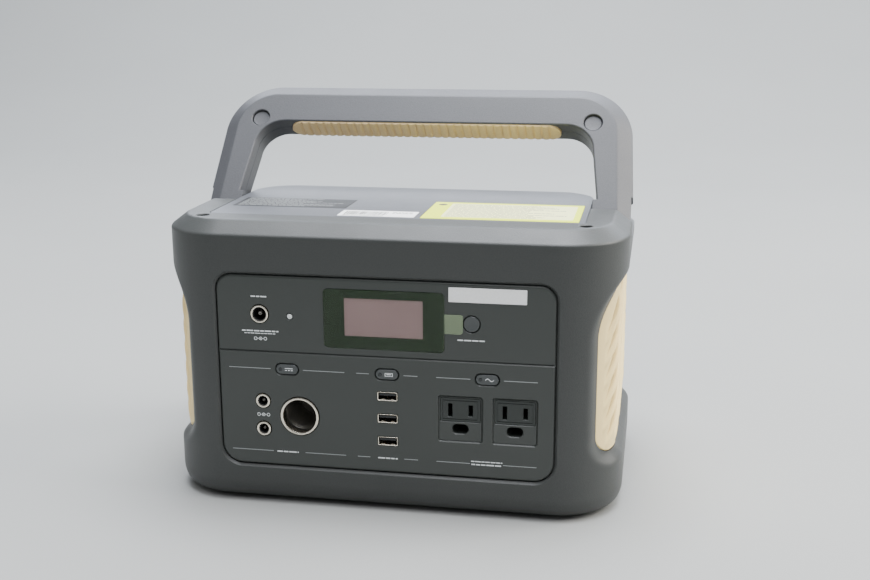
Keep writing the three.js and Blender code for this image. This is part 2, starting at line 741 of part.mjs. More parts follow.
// The opening for the hand, between the legs and below the bar.
function handGapShape() {
  const { barInner, innerRadius } = HANDLE;
  const cornerX = legInner(barInner) - innerRadius;
  const cornerY = barInner - innerRadius;
  const shape = new THREE.Shape();
  shape.moveTo(-legInner(-30), -30);
  shape.lineTo(legInner(-30), -30);
  shape.lineTo(legInner(cornerY), cornerY);
  shape.absarc(cornerX, cornerY, innerRadius, 0, Math.PI / 2, false);
  shape.lineTo(-cornerX, barInner);
  shape.absarc(-cornerX, cornerY, innerRadius, Math.PI / 2, Math.PI, false);
  return shape;
}

// Everything the handle may fill, looking along its pivot: rounded at the hub, straight beyond it.
function handleSideView() {
  const { face, back, hubRadius } = HANDLE;
  const start = Math.PI - Math.asin(face / hubRadius);
  const profile = new THREE.Shape();
  profile.moveTo(120, face);
  profile.lineTo(hubRadius * Math.cos(start), face);
  profile.absarc(0, 0, hubRadius, start, Math.PI * 1.5, false);
  profile.lineTo(120, back);
  return prismX(profile, -200, 200, ARC_STEPS);
}

// Step in the outside of a leg, where it passes inside the case's corner.
function legNotch(side) {
  const edge = side * (LEG.baseOuter - LEG.notchWidth);
  return block(Math.min(edge, side * 200), Math.max(edge, side * 200), -30, LEG.notchLength, -50, 50);
}

function hubBoss(side) {
  const ends = [side * (DECK.halfWidth + 2 * GAP), side * (LEG.baseInner + 2)];
  return rodX(Math.min(...ends), Math.max(...ends), 0, 0, LEG.bossRadius, 10);
}

function handleSolid() {
  const sideView = handleSideView();
  const frame = cut(handleBlank(), prismZ(handGapShape(), -50, 50, ARC_STEPS));
  const bosses = [-1, 1].map((side) => hubBoss(side).intersect(sideView));
  return cut(join(frame.intersect(sideView), ...bosses), legNotch(1), legNotch(-1));
}

function plugHole(side) {
  return rodZ(side * PLUG.x, PLUG.y, HANDLE.face - PLUG.length - GAP, HANDLE.face + 5, PLUG.recess, 12);
}

function gripShape(grow) {
  const middle = (HANDLE.face + HANDLE.back) / 2;
  const u = GRIP.halfLength + grow;
  const v = GRIP.halfWidth + grow;
  return evenRectangle(-u, u, middle - v, middle + v, GRIP.radius + grow);
}

function handlePinHole() {
  const reach = LEG.baseOuter - 8;
  return rodX(-reach, reach, 0, 0, HANDLE.pinRadius + GAP);
}

function handleHalf(whole, z0, z1) {
  const { barInner } = HANDLE;
  const pocket = prismY(gripShape(GAP), barInner - 10, barInner + GRIP.pocket + GAP);
  const half = whole.intersect(block(-200, 200, -100, 200, z0, z1));
  return cut(half, pocket, handlePinHole());
}

function handleGrip() {
  const { barInner } = HANDLE;
  return prismY(gripShape(0), barInner - GRIP.proud, barInner + GRIP.pocket);
}

function handlePlug(side) {
  const { face } = HANDLE;
  return rodZ(side * PLUG.x, PLUG.y, face - PLUG.length, face - PLUG.depth, PLUG.recess - GAP, 12);
}

function pivotPin(side) {
  const ends = [side * (DECK.halfWidth - HANDLE.pinInset), side * (LEG.baseOuter - 9)];
  return rodX(Math.min(...ends), Math.max(...ends), HANDLE.pivotY, HANDLE.pivotZ, HANDLE.pinRadius);
}

// ---------------------------------------------------------------- inside
function foot() {
  const { radius, height } = FEET;
  const profile = [[0, 0], [radius - 1, 0], [radius, 1], [radius, height], [0, height]];
  const points = profile.map(([r, z]) => new THREE.Vector2(r, z));
  return solid(new THREE.LatheGeometry(points, 24).rotateX(Math.PI / 2));
}

function fanFrame() {
  const { x0, x1, y, z, half, bore, hub } = FAN;
  const plate = prismX(evenRectangle(y - half, y + half, z - half, z + half, 4), x0, x1, 3);
  const spider = join(
    rodX(x0, x0 + 2, y, z, hub, 8),
    block(x0, x0 + 2, y - 1.5, y + 1.5, z - half + 1, z + half - 1),
    block(x0, x0 + 2, y - half + 1, y + half - 1, z - 1.5, z + 1.5),
  );
  return join(cut(plate, rodX(x0 - 1, x1 + 1, y, z, bore, 14)), spider);
}

function fanRotor() {
  const { x0, x1, y, z, bore, hub, blades } = FAN;
  const front = x0 + 2 + 2 * GAP;
  const parts = [rodX(front, x1 - 1, 0, 0, hub - 0.5, 8)];
  for (let i = 0; i < blades; i += 1) {
    const blade = new THREE.BoxGeometry(1.4, 14, bore - hub - 0.5);
    blade.rotateZ(-0.7).translate((front + x1) / 2, 0, (bore + hub) / 2 - 1.5);
    blade.rotateX((Math.PI * 2 * i) / blades);
    parts.push(solid(blade));
  }
  return join(...parts).translate([0, y, z]);
}

function batteryPack() {
  const { x0, x1, y0, y1, z0, z1, cells, capOver, capHeight } = BATTERY;
  const pitch = (x1 - x0) / cells;
  const body = block(x0, x1, y0, y1, z0 + capHeight - 1, z1 - capHeight + 1);
  const grooves = Array.from({ length: cells - 1 }, (_, i) => {
    const x = x0 + pitch * (i + 1);
    return block(x - 1.5, x + 1.5, y0 - 1, y0 + 3, z0 - 1, z1 + 1);
  });
  const caps = [z0, z1 - capHeight].map((z) => {
    return block(x0 - capOver, x1 + capOver, y0 - capOver, y1 + capOver, z, z + capHeight);
  });
  return join(cut(body, ...grooves), ...caps);
}

function batteryTray() {
  const { x0, x1, y0, y1, z0, capOver } = BATTERY;
  const { wall, height } = TRAY;
  const room = capOver + GAP;
  const tray = block(x0 - wall, x1 + wall, y0 - wall, y1 + wall, CASE.floor + GAP, z0 + height);
  return cut(tray, block(x0 - room, x1 + room, y0 - room, y1 + room, z0 - GAP, z0 + height + 5));
}

function board({ x0, x1, y0, y1, z0, z1 }) {
  return block(x0, x1, y0, y1, z0, z1);
}

function batteryBoard() {
  const top = BATTERY_BOARD.z1 - 0.6;
  const relay = block(-70, -50, -30, 46, top, top + 7);
  const chip = block(-40, -25, -10, 20, top, top + 5);
  return join(board(BATTERY_BOARD), relay, chip);
}

function inverterBoard() {
  const { count, x, y, pitch, radius, top } = CAPACITOR;
  const capacitors = Array.from({ length: count }, (_, i) => {
    return rodZ(x + i * pitch, y, INVERTER_BOARD.z1 - 0.6, top, radius);
  });
  return join(board(INVERTER_BOARD), ...capacitors);
}

function transformer() {
  const { x0, x1, y0, y1, z0, z1, core } = TRANSFORMER;
  const window = block(x0 - 1, x1 + 1, y0 + core, y1 - core, z0 + core, z1 - core);
  const winding = block(x0 - 4, x1 + 4, y0 + core + 4, y1 - core - 4, z0 + 2, z1 - 2);
  return join(cut(board(TRANSFORMER), window), winding);
}

function heatSink() {
  const { x0, x1, y0, y1, z0, base, height, fins, fin } = HEAT_SINK;
  const pitch = (y1 - y0 - fin - 1.7) / (fins - 1);
  const plates = Array.from({ length: fins }, (_, i) => {
    const y = y0 + 1 + i * pitch;
    return block(x0, x1, y, y + fin, z0 + base / 2, z0 + height);
  });
  return join(block(x0, x1, y0, y1, z0, z0 + base), ...plates);
}

function batteryLead() {
  const route = new THREE.CatmullRomCurve3([
    new THREE.Vector3(-20, 30, 85.9),
    new THREE.Vector3(-20, 30, 92),
    new THREE.Vector3(-8, 24, 99),
    new THREE.Vector3(8, 14, 99),
    new THREE.Vector3(16, 10, 94),
    new THREE.Vector3(22, 20, 92),
    new THREE.Vector3(30, 24, 92),
    new THREE.Vector3(30, 24, 87.9),
  ]);
  const options = { steps: 24, bevelEnabled: false, extrudePath: route, curveSegments: 2 };
  return solid(new THREE.ExtrudeGeometry(circle(0, 0, 2), options));
}

// ---------------------------------------------------------------- assembly
const station = new THREE.Group();

function add(group, name, piece, material) {
  const mesh = new THREE.Mesh(geometryOf(piece), material.clone());
  mesh.name = name;
  group.add(mesh);
  return mesh;
}

function addCase() {
  const outer = outerCase();
  const inner = cavity();
  add(station, "front_shell", frontShell(outer, inner), CHARCOAL);
  add(station, "rear_shell", rearShell(outer, inner), CHARCOAL);
  add(station, "top_plate", topPlate(), CHARCOAL);
  add(station, "side_panel_left", sidePanel(-1), TAN);
  add(station, "side_panel_right", sidePanel(1), TAN);
  for (const [name, { area, material }] of Object.entries(LABELS)) {
    add(station, name, label(area), material);
  }
  for (const [name, x, y] of [
    ["foot_front_left", -FEET.x, -FEET.y],
    ["foot_front_right", FEET.x, -FEET.y],
    ["foot_rear_left", -FEET.x, FEET.y],
    ["foot_rear_right", FEET.x, FEET.y],
  ]) {
    add(station, name, foot(), RUBBER).position.set(x, y, 0);
  }
}

function addScrews() {
  const { x, y, low, high, radius } = TOP_SCREW;
  add(station, "top_screw_left", rodZ(-x, y, low, high, radius), STEEL);
  add(station, "top_screw_right", rodZ(x, y, low, high, radius), STEEL);
  const { halfDepth } = CASE;
  for (const [name, u, z] of [
    ["rear_screw_low_left", -REAR_SCREW.x, REAR_SCREW.low],
    ["rear_screw_low_right", REAR_SCREW.x, REAR_SCREW.low],
    ["rear_screw_high_left", -REAR_SCREW.x, REAR_SCREW.high],
    ["rear_screw_high_right", REAR_SCREW.x, REAR_SCREW.high],
  ]) {
    const y0 = halfDepth - REAR_SCREW.depth + GAP;
    add(station, name, rodY(u, z, y0, y0 + REAR_SCREW.thickness, REAR_SCREW.radius, 8), STEEL);
  }
}

function addFrontPanel() {
  add(station, "front_panel", frontPanel(), FASCIA_BLACK);
  add(station, "display_window", displayWindow(), GLASS);
  add(station, "display_module", displayModule(), SCREEN_GREY);
  add(station, "display_film", displayFilm(), FILM_GREEN);
  add(station, "name_plate", namePlate(), PAPER);
  add(station, "display_button", displayButton(), BLACK);
  for (const [name, x] of Object.entries(PILLS)) add(station, name, pillButton(x), FASCIA_BLACK);
  add(station, "charge_light", chargeLight(), LIGHT_WHITE);
  add(station, "input_jack", roundJack(INPUT_JACK.x, INPUT_JACK.z, INPUT_JACK), NICKEL);
  for (const [name, z] of Object.entries(DC_JACK_Z)) {
    add(station, name, roundJack(DC_JACK.x, z, DC_JACK), NICKEL);
  }
  add(station, "car_socket", carSocket(), NICKEL);
  add(station, "car_socket_contact", carSocketContact(), STEEL);
  for (const [name, z] of Object.entries(USB_Z)) add(station, name, usbPort(z), STEEL);
  for (const [name, x] of Object.entries(OUTLET_X)) add(station, name, acOutlet(x), BLACK);
}

function addHandle() {
  const handle = new THREE.Group();
  handle.position.set(0, HANDLE.pivotY, HANDLE.pivotZ);
  handle.rotation.x = THREE.MathUtils.degToRad(HANDLE.leanDegrees);
  const whole = handleSolid();
  const front = cut(handleHalf(whole, HANDLE.split, 50), plugHole(1), plugHole(-1));
  add(handle, "handle_front", front, CHARCOAL);
  add(handle, "handle_back", handleHalf(whole, -50, HANDLE.split - GAP), CHARCOAL);
  add(handle, "handle_grip", handleGrip(), GRIP_TAN);
  add(handle, "handle_plug_left", handlePlug(-1), CHARCOAL);
  add(handle, "handle_plug_right", handlePlug(1), CHARCOAL);
  station.add(handle);
  add(station, "pivot_pin_left", pivotPin(-1), STEEL);
  add(station, "pivot_pin_right", pivotPin(1), STEEL);
}

function addInside() {
  add(station, "battery_tray", batteryTray(), BLACK);
  add(station, "battery_pack", batteryPack(), CELL_WRAP);
  add(station, "battery_board", batteryBoard(), BOARD_GREEN);
  add(station, "inverter_board", inverterBoard(), BOARD_GREEN);
  add(station, "transformer", transformer(), COPPER);
  add(station, "heat_sink", heatSink(), ALUMINIUM);
  add(station, "control_board", board(CONTROL_BOARD), BOARD_GREEN);
  add(station, "battery_lead", batteryLead(), COPPER);
  add(station, "fan_frame", fanFrame(), BLACK);
  add(station, "fan_rotor", fanRotor(), BLACK);
}

addCase();
addScrews();
addFrontPanel();
addHandle();
addInside();

export default station;
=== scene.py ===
"""Looks of the portable power station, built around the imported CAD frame. Metres, row frame."""

import json
import math
import random

import bmesh
import bpy
from mathutils import Matrix, Vector


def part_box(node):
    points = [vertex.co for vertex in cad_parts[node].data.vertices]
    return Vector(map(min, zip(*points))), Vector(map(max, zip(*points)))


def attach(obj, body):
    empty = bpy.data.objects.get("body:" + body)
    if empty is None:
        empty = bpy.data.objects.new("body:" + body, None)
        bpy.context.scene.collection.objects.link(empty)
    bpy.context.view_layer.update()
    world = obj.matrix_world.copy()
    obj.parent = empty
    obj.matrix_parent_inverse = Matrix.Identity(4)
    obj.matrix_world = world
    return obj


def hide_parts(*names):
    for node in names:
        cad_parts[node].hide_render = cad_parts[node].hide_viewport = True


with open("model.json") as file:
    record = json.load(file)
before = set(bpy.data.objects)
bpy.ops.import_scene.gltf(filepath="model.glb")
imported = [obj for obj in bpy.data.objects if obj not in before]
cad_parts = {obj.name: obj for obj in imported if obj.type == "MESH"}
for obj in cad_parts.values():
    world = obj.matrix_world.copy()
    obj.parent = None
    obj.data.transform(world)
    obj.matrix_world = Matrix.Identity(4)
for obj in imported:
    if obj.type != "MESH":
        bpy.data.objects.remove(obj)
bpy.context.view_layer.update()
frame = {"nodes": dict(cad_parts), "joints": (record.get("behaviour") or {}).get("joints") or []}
NODES = frame["nodes"]
MM = 0.001

# ---- places from the frame
CASE_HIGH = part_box("rear_shell")[1]
SHELL_LOW, SHELL_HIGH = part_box("front_shell")
DECK_LOW, DECK_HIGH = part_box("top_plate")
PANEL_LOW, PANEL_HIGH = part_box("front_panel")
HALF_WIDTH = SHELL_HIGH.x
HALF_DEPTH = CASE_HIGH.y
CASE_BOTTOM = SHELL_LOW.z
CASE_TOP = SHELL_HIGH.z
SEAM_FRONT = SHELL_HIGH.y
FASCIA_FRONT = PANEL_LOW.y
FASCIA_BACK = PANEL_HIGH.y
FOLD = next(joint for joint in frame["joints"] if joint["name"] == "handle_fold")
PIVOT = Vector(FOLD["pos_m"])
REAR_SCREWS = [f"rear_screw_{level}_{side}" for level in ("low", "high") for side in ("left", "right")]

# ---- sizes of the case
CORNER = 42 * MM
BOTTOM_INSET = 6.5 * MM
TURN_UP = 12 * MM
SHOULDER = CASE_TOP - 7.9 * MM
BEVEL_INSET = 10.6 * MM
LEDGE = 161.5 * MM
WALL = 3 * MM
WAIST_DEPTH = 5.3 * MM
WAIST_LOW = 32 * MM
WAIST_HIGH = 155 * MM
LIP = 8.2 * MM
STRAIGHT = HALF_DEPTH - CORNER

# ---- small helpers


def link(obj):
    bpy.context.scene.collection.objects.link(obj)
    return obj


def mesh_object(name, points, faces):
    mesh = bpy.data.meshes.new(name)
    mesh.from_pydata([tuple(p) for p in points], [], faces)
    mesh.update()
    return link(bpy.data.objects.new(name, mesh))


def clean(obj, sharp_degrees=32):
    """Faces point out, smooth shading with edges sharper than the angle kept crisp."""
    work = bmesh.new()
    work.from_mesh(obj.data)
    bmesh.ops.remove_doubles(work, verts=work.verts, dist=1e-6)
    bmesh.ops.recalc_face_normals(work, faces=work.faces)
    work.to_mesh(obj.data)
    work.free()
    obj.data.shade_smooth()
    obj.data.set_sharp_from_angle(angle=math.radians(sharp_degrees))
    return obj


def applied(obj):
    """The object with its modifiers made real."""
    graph = bpy.context.evaluated_depsgraph_get()
    made = bpy.data.meshes.new_from_object(obj.evaluated_get(graph))
    obj.modifiers.clear()
    obj.data = made
    return obj


def combine(obj, tools, operation="DIFFERENCE", sharp_degrees=None):
    """Cuts or joins the tools, which are used up. The result is cleaned when an angle is given."""
    for tool in tools:
        modifier = obj.modifiers.new("tool", "BOOLEAN")
        modifier.operation = operation
        modifier.solver = "EXACT"
        modifier.object = tool
    bpy.context.view_layer.update()
    applied(obj)
    for tool in tools:
        bpy.data.objects.remove(tool)
    return clean(obj, sharp_degrees) if sharp_degrees else obj


def bevelled(obj, width, segments=2, degrees=40):
    modifier = obj.modifiers.new("edges", "BEVEL")
    modifier.width = width
    modifier.segments = segments
    modifier.limit_method = "ANGLE"
    modifier.angle_limit = math.radians(degrees)
    modifier.use_clamp_overlap = True
    bpy.context.view_layer.update()
    return clean(applied(obj))


def finish_piece(obj, material, node=None, body="housing"):
    """Gives a piece its material, body and replaced node, with its flat faces shaded flat."""
    normals = obj.modifiers.new("normals", "WEIGHTED_NORMAL")
    normals.keep_sharp = True
    normals.weight = 80
    obj.data.materials.clear()
    obj.data.materials.append(MATERIALS[material])
    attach(obj, body)
    if node:
        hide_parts(node)


def loft(name, rings, closed=True):
    """A closed surface through rings with the same number of points."""
    count = len(rings[0])
    points = [p for ring in rings for p in ring]
    faces = []
    for level in range(len(rings) - 1):
        for i in range(count):
            j = (i + 1) % count
            a, b = level * count + i, level * count + j
            faces.append((a, b, b + count, a + count))
    if closed:
        faces.append(tuple(reversed(range(count))))
        last = (len(rings) - 1) * count
        faces.append(tuple(range(last, last + count)))
    return mesh_object(name, points, faces)


def arc(u, v, radius, start, end, steps):
    """Points of an arc, angles in degrees."""
    angles = [math.radians(start + (end - start) * i / steps) for i in range(steps + 1)]
    return [(u + radius * math.cos(a), v + radius * math.sin(a)) for a in angles]


def rounded(u0, u1, v0, v1, radii, steps=12):
    """Outline of a rectangle with a radius for each corner, counter-clockwise from low left."""
    r0, r1, r2, r3 = radii if isinstance(radii, (list, tuple)) else (radii,) * 4
    return (
        arc(u0 + r0, v0 + r0, r0, 180, 270, steps)
        + arc(u1 - r1, v0 + r1, r1, 270, 360, steps)
        + arc(u1 - r2, v1 - r2, r2, 0, 90, steps)
        + arc(u0 + r3, v1 - r3, r3, 90, 180, steps)
    )


def circle(u, v, radius, steps=48):
    return arc(u, v, radius, 0, 360 * (steps - 1) / steps, steps - 1)


PLANES = {
    "x": lambda u, v, w: (w, u, v),
    "y": lambda u, v, w: (u, w, v),
    "z": lambda u, v, w: (u, v, w),
}


def prism(outline, low, high, axis, name="tool"):
    """The outline pushed along an axis: the outline's two axes are the other two, in order."""
    place = PLANES[axis]
    rings = [[place(u, v, w) for u, v in outline] for w in (low, high)]
    return clean(loft(name, rings))


def block(x0, x1, y0, y1, z0, z1):
    outline = [(x0, y0), (x1, y0), (x1, y1), (x0, y1)]
    return prism(outline, z0, z1, "z")


def turned(name, centre, profile, axis="y", steps=64):
    """A piece turned about an axis through the centre. The profile is (radius, along) pairs."""
    rings = []
    for radius, along in profile:
        ring = [(radius * math.cos(t), radius * math.sin(t)) for t in
                (2 * math.pi * i / steps for i in range(steps))]
        rings.append([Vector(PLANES[axis](u, v, along)) + centre for u, v in ring])
    obj = loft(name, rings, closed=False)
    work = bmesh.new()
    work.from_mesh(obj.data)
    bmesh.ops.remove_doubles(work, verts=work.verts, dist=1e-7)
    bmesh.ops.dissolve_degenerate(work, edges=work.edges, dist=1e-8)
    work.to_mesh(obj.data)
    work.free()
    return clean(obj, 28)


def in_mm(profile, start=0.0):
    """A turned profile written in millimetres, its second number counted from the start."""
    return [(radius * MM, start + along * MM) for radius, along in profile]


def joined(name, parts):
    """Several meshes as one object."""
    work = bmesh.new()
    for part in parts:
        work.from_mesh(part.data)
    mesh = bpy.data.meshes.new(name)
    work.to_mesh(mesh)
    work.free()
    for part in parts:
        bpy.data.objects.remove(part)
    obj = link(bpy.data.objects.new(name, mesh))
    return clean(obj)


# ---- camera, floor and light
LENS_MM = 50.05
SENSOR_MM = 36
CAMERA_PLACE = Vector((0.1607, -0.7854, 0.3187))
CAMERA_YAW = math.radians(10.53)
CAMERA_PITCH = math.radians(-13.92)
CAMERA_ROLL = math.radians(-0.245)


def make_camera():
    data = bpy.data.cameras.new("camera")
    data.lens = LENS_MM
    data.sensor_width = SENSOR_MM
    camera = link(bpy.data.objects.new("camera", data))
    turn = Matrix.Rotation(CAMERA_YAW, 4, "Z") @ Matrix.Rotation(math.pi / 2 + CAMERA_PITCH, 4, "X")
    camera.matrix_world = Matrix.Translation(CAMERA_PLACE) @ turn @ Matrix.Rotation(CAMERA_ROLL, 4, "Z")
    bpy.context.scene.camera = camera


def area_light(name, place, target, size, power, color=(1, 1, 1)):
    data = bpy.data.lights.new(name, "AREA")
    data.shape = "RECTANGLE"
    data.size, data.size_y = size
    data.energy = power
    data.color = color
    lamp = link(bpy.data.objects.new(name, data))
    lamp.location = place
    lamp.rotation_euler = (Vector(target) - Vector(place)).to_track_quat("-Z", "Y").to_euler()
    lamp.visible_camera = False


def make_world():
    world = bpy.data.worlds.new("studio")
    bpy.context.scene.world = world
    world.use_nodes = True
    background = world.node_tree.nodes["Background"]
    background.inputs["Color"].default_value = (0.93, 0.96, 1.0, 1)
    background.inputs["Strength"].default_value = 0.23


def make_stage():
    """Pale floor that sweeps up into a backdrop behind the object."""
    profile = [(-3.0, 0.0), (1.2, 0.0)]
    for i in range(1, 25):
        t = math.pi / 2 * i / 24
        profile.append((1.2 + 1.8 * math.sin(t), 1.8 * (1 - math.cos(t))))
    profile += [(3.0, 3.5), (3.05, 3.5), (3.05, -0.05), (-3.0, -0.05)]
    floor = prism(profile, -5.0, 5.0, "x", "floor")
    floor.data.materials.append(flat_material("floor_pale", (0.33, 0.335, 0.325), 0.85))


def make_lights():
    area_light("zenith_panel", (0.1, 0.15, 2.3), (0, 0, 0.1), (1.5, 1.4), 130, (0.91, 0.94, 1.0))
    area_light("back_sky", (0.0, 2.3, 1.7), (0, 0, 0.2), (4.0, 1.6), 114, (0.84, 0.90, 1.0))
    area_light("front_high", (0.4, -1.25, 2.2), (0, 0, 0.2), (1.8, 0.9), 26, (0.95, 0.96, 1.0))
    area_light("front_fill", (0.9, -2.2, 1.5), (0, 0, 0.1), (1.6, 1.2), 3)
    area_light("left_fill", (-1.8, -0.3, 0.9), (0, 0, 0.1), (1.2, 1.2), 5)
    area_light("right_side", (1.9, 0.3, 1.3), (0, 0, 0.1), (1.5, 1.4), 72, (1.0, 0.97, 0.91))


# ---- materials


class Nodes:
    """A material's node tree, built call by call."""

    def __init__(self, name, color, roughness, metallic=0.0):
        self.material = bpy.data.materials.new(name)
        self.material.use_nodes = True
        self.tree = self.material.node_tree
        self.shader = self.tree.nodes["Principled BSDF"]
        self.fill(self.shader, {"Base Color": (*color, 1), "Roughness": roughness, "Metallic": metallic})
        self.coordinates = self.tree.nodes.new("ShaderNodeTexCoord").outputs["Object"]
        self.color = color
        self.normal = None

    def node(self, kind, **values):
        """A new node with these input values; an underscore stands for a space in an input's name."""
        made = self.tree.nodes.new(kind)
        return self.fill(made, values)

    def fill(self, node, values):
        for key, value in values.items():
            node.inputs[key.replace("_", " ")].default_value = value
        return node

    def wire(self, source, target):
        self.tree.links.new(source, target)

    def noise(self, scale, detail=3.0, roughness=0.5):
        made = self.node("ShaderNodeTexNoise", Scale=scale, Detail=detail, Roughness=roughness)
        self.wire(self.coordinates, made.inputs["Vector"])
        return made.outputs["Fac"]

    def ramp(self, source, low, high, position=(0.3, 0.7)):
        made = self.node("ShaderNodeValToRGB")
        made.color_ramp.elements[0].position, made.color_ramp.elements[1].position = position
        made.color_ramp.elements[0].color = (*low, 1)
        made.color_ramp.elements[1].color = (*high, 1)
        self.wire(source, made.inputs["Fac"])
        return made.outputs["Color"]

    def vary_color(self, source, spread, position=(0.3, 0.7)):
        """Base colour between darker and lighter versions of itself."""
        low = tuple(c * (1 - spread) for c in self.color)
        high = tuple(min(1, c * (1 + spread)) for c in self.color)
        self.wire(self.ramp(source, low, high, position), self.shader.inputs["Base Color"])

    def vary_roughness(self, source, low, high):
        made = self.node("ShaderNodeMapRange", To_Min=low, To_Max=high)
        self.wire(source, made.inputs["Value"])
        self.wire(made.outputs["Result"], self.shader.inputs["Roughness"])

    def bump(self, source, strength, distance):
        made = self.node("ShaderNodeBump", Strength=strength, Distance=distance)
        self.wire(source, made.inputs["Height"])
        if self.normal is not None:
            self.wire(self.normal, made.inputs["Normal"])
        self.normal = made.outputs["Normal"]
        self.wire(self.normal, self.shader.inputs["Normal"])


def flat_material(name, color, roughness):
    made = Nodes(name, color, roughness)
    made.vary_color(made.noise(3), 0.02)
    made.vary_roughness(made.noise(8), roughness - 0.05, roughness + 0.05)
    return made.material


def textured_plastic(name, color, roughness, grain=2600, depth=0.00006, strength=0.5, mottle=0.06):
    """Moulded plastic with a spark-eroded grain, faint flow marks and a slightly uneven sheen."""
    made = Nodes(name, color, roughness)
    grain_field = made.noise(grain, 2.0, 0.55)
    made.vary_color(grain_field, mottle, (0.35, 0.65))
    made.vary_roughness(made.noise(35, 4.0), roughness - 0.07, roughness + 0.07)
    made.bump(made.noise(60, 2.0), 0.08, 0.0002)
    made.bump(grain_field, strength, depth)
    return made.material


def brushed_metal(name, color, roughness, scale=900, strength=0.12):
    made = Nodes(name, color, roughness, 1.0)
    field = made.noise(scale, 4.0, 0.6)
    made.vary_color(made.noise(120), 0.05)
    made.vary_roughness(field, roughness * 0.7, roughness * 1.4)
    made.bump(field, strength, 0.00002)
    return made.material


def printed_label(name, color, roughness=0.45):
    """Printed film label: faint fibre mottling and a satin coat."""
    made = Nodes(name, color, roughness)
    made.vary_color(made.noise(700, 3.0), 0.025)
    made.vary_roughness(made.noise(90), roughness - 0.06, roughness + 0.1)
    made.bump(made.noise(220, 2.0), 0.12, 0.00008)
    made.fill(made.shader, {"Specular_IOR_Level": 0.25})
    return made.material


def glossy(name, color, roughness):
    """Smooth moulded acrylic or lens with slight waviness and dust."""
    made = Nodes(name, color, roughness)
    made.vary_color(made.noise(14, 2.0), 0.07)
    made.vary_roughness(made.noise(90, 3.0), roughness * 0.7, roughness * 1.6)
    made.bump(made.noise(40, 1.0), 0.04, 0.0001)
    made.fill(made.shader, {"Coat_Weight": 0.1, "Coat_Roughness": 0.06, "Specular_IOR_Level": 0.25})
    return made.material


def film_sheet(name, color, roughness, flat_alpha, tab_alpha):
    """Thin see-through protective film with a soft ripple, milkier on its pull tab beside the window."""
    made = Nodes(name, color, roughness)
    made.vary_color(made.noise(60, 3.0), 0.08)
    made.vary_roughness(made.noise(40, 2.0), roughness * 0.8, roughness * 1.5)
    made.bump(made.noise(60, 1.0), 0.05, 0.0001)
    made.fill(made.shader, {"Specular_IOR_Level": 0.15})
    split = made.node("ShaderNodeSeparateXYZ")
    made.wire(made.coordinates, split.inputs["Vector"])
    fade = made.node("ShaderNodeMapRange", From_Min=37.6 * MM, From_Max=39.0 * MM, To_Min=flat_alpha,
                     To_Max=tab_alpha)
    made.wire(split.outputs["X"], fade.inputs["Value"])
    made.wire(fade.outputs["Result"], made.shader.inputs["Alpha"])
    return made.material


MATERIALS = {
    "shell": textured_plastic("case_charcoal", (0.041, 0.044, 0.042), 0.45, 1500, 0.00012, 0.75, 0.10),
    "deck": textured_plastic("deck_charcoal", (0.084, 0.089, 0.100), 0.43, 1800, 0.00008, 0.6, 0.08),
    "fascia": textured_plastic("fascia_grey", (0.038, 0.043, 0.039), 0.36, 3800, 0.00003, 0.3, 0.04),
    "tan": textured_plastic("grille_tan", (0.98, 0.76, 0.35), 0.5, 3000, 0.00004, 0.35, 0.03),
    "grip": textured_plastic("grip_tan", (0.82, 0.60, 0.31), 0.62, 1800, 0.00006, 0.5, 0.05),
    "foot": textured_plastic("foot_rubber", (0.012, 0.012, 0.012), 0.8, 1500, 0.00008, 0.5),
    "black": textured_plastic("socket_black", (0.012, 0.013, 0.014), 0.38, 3500, 0.00002, 0.25, 0.04),
    "button": textured_plastic("button_grey", (0.060, 0.066, 0.066), 0.42, 3500, 0.00003, 0.3, 0.04),
    "nickel": brushed_metal("bright_nickel", (0.80, 0.74, 0.63), 0.24),
    "steel": brushed_metal("dull_steel", (0.50, 0.50, 0.50), 0.38),
    "dark_metal": brushed_metal("dark_pin", (0.25, 0.24, 0.22), 0.4),
    "aluminium": brushed_metal("mill_aluminium", (0.72, 0.73, 0.75), 0.35),
    "copper": brushed_metal("enamelled_copper", (0.55, 0.22, 0.09), 0.35),
    "white_label": printed_label("label_white", (0.96, 0.96, 0.95)),
    "yellow_label": printed_label("label_yellow", (0.82, 0.93, 0.02)),
    "pale_label": printed_label("label_cream", (0.94, 0.95, 0.48)),
    "dark_label": printed_label("label_dark", (0.035, 0.036, 0.038), 0.5),
    "ink": printed_label("print_white", (0.85, 0.88, 0.88), 0.5),
    "dark_ink": printed_label("print_dark", (0.10, 0.10, 0.09), 0.5),
    "dim_ink": printed_label("print_grey", (0.36, 0.38, 0.38), 0.5),
    # The handle is the case's own plastic, painted lighter than the shell to stand in for the brighter light
    # that falls on it: painted light.
    "handle": textured_plastic("handle_charcoal_painted_lighter", (0.074, 0.076, 0.083), 0.45, 1500, 0.00012, 0.75, 0.10),
    "outlet": textured_plastic("outlet_black", (0.018, 0.023, 0.020), 0.36, 3500, 0.00002, 0.25, 0.04),
    "dark_screw": brushed_metal("black_screw", (0.09, 0.09, 0.09), 0.35),
    "window": glossy("window_green", (0.004, 0.014, 0.003), 0.2),
    "screen": glossy("screen_grey", (0.25, 0.165, 0.162), 0.2),
    "film": film_sheet("film_green", (0.34, 0.42, 0.27), 0.10, 0.02, 0.42),
    "dark_lens": glossy("lens_dark", (0.05, 0.055, 0.055), 0.15),
    "clear_lens": glossy("lens_clear", (0.75, 0.78, 0.76), 0.12),
    "board": textured_plastic("solder_mask", (0.02, 0.11, 0.045), 0.35, 400, 0.0001, 0.3, 0.1),
    "cells": textured_plastic("cell_wrap", (0.03, 0.14, 0.38), 0.32, 500, 0.00005, 0.2),
}

# ---- case outline


def smooth(value):
    t = min(1, max(0, value))
    return t * t * (3 - 2 * t)


# The waist recess, seen unrolled: s runs round the case from the middle of the side.
WAIST_HALF = STRAIGHT + CORNER * 1.068
WAIST_CORNERS = {"low": (25.4 * MM, 18 * MM), "high": (49 * MM, 41 * MM)}
LIP_ALONG = 14 * MM


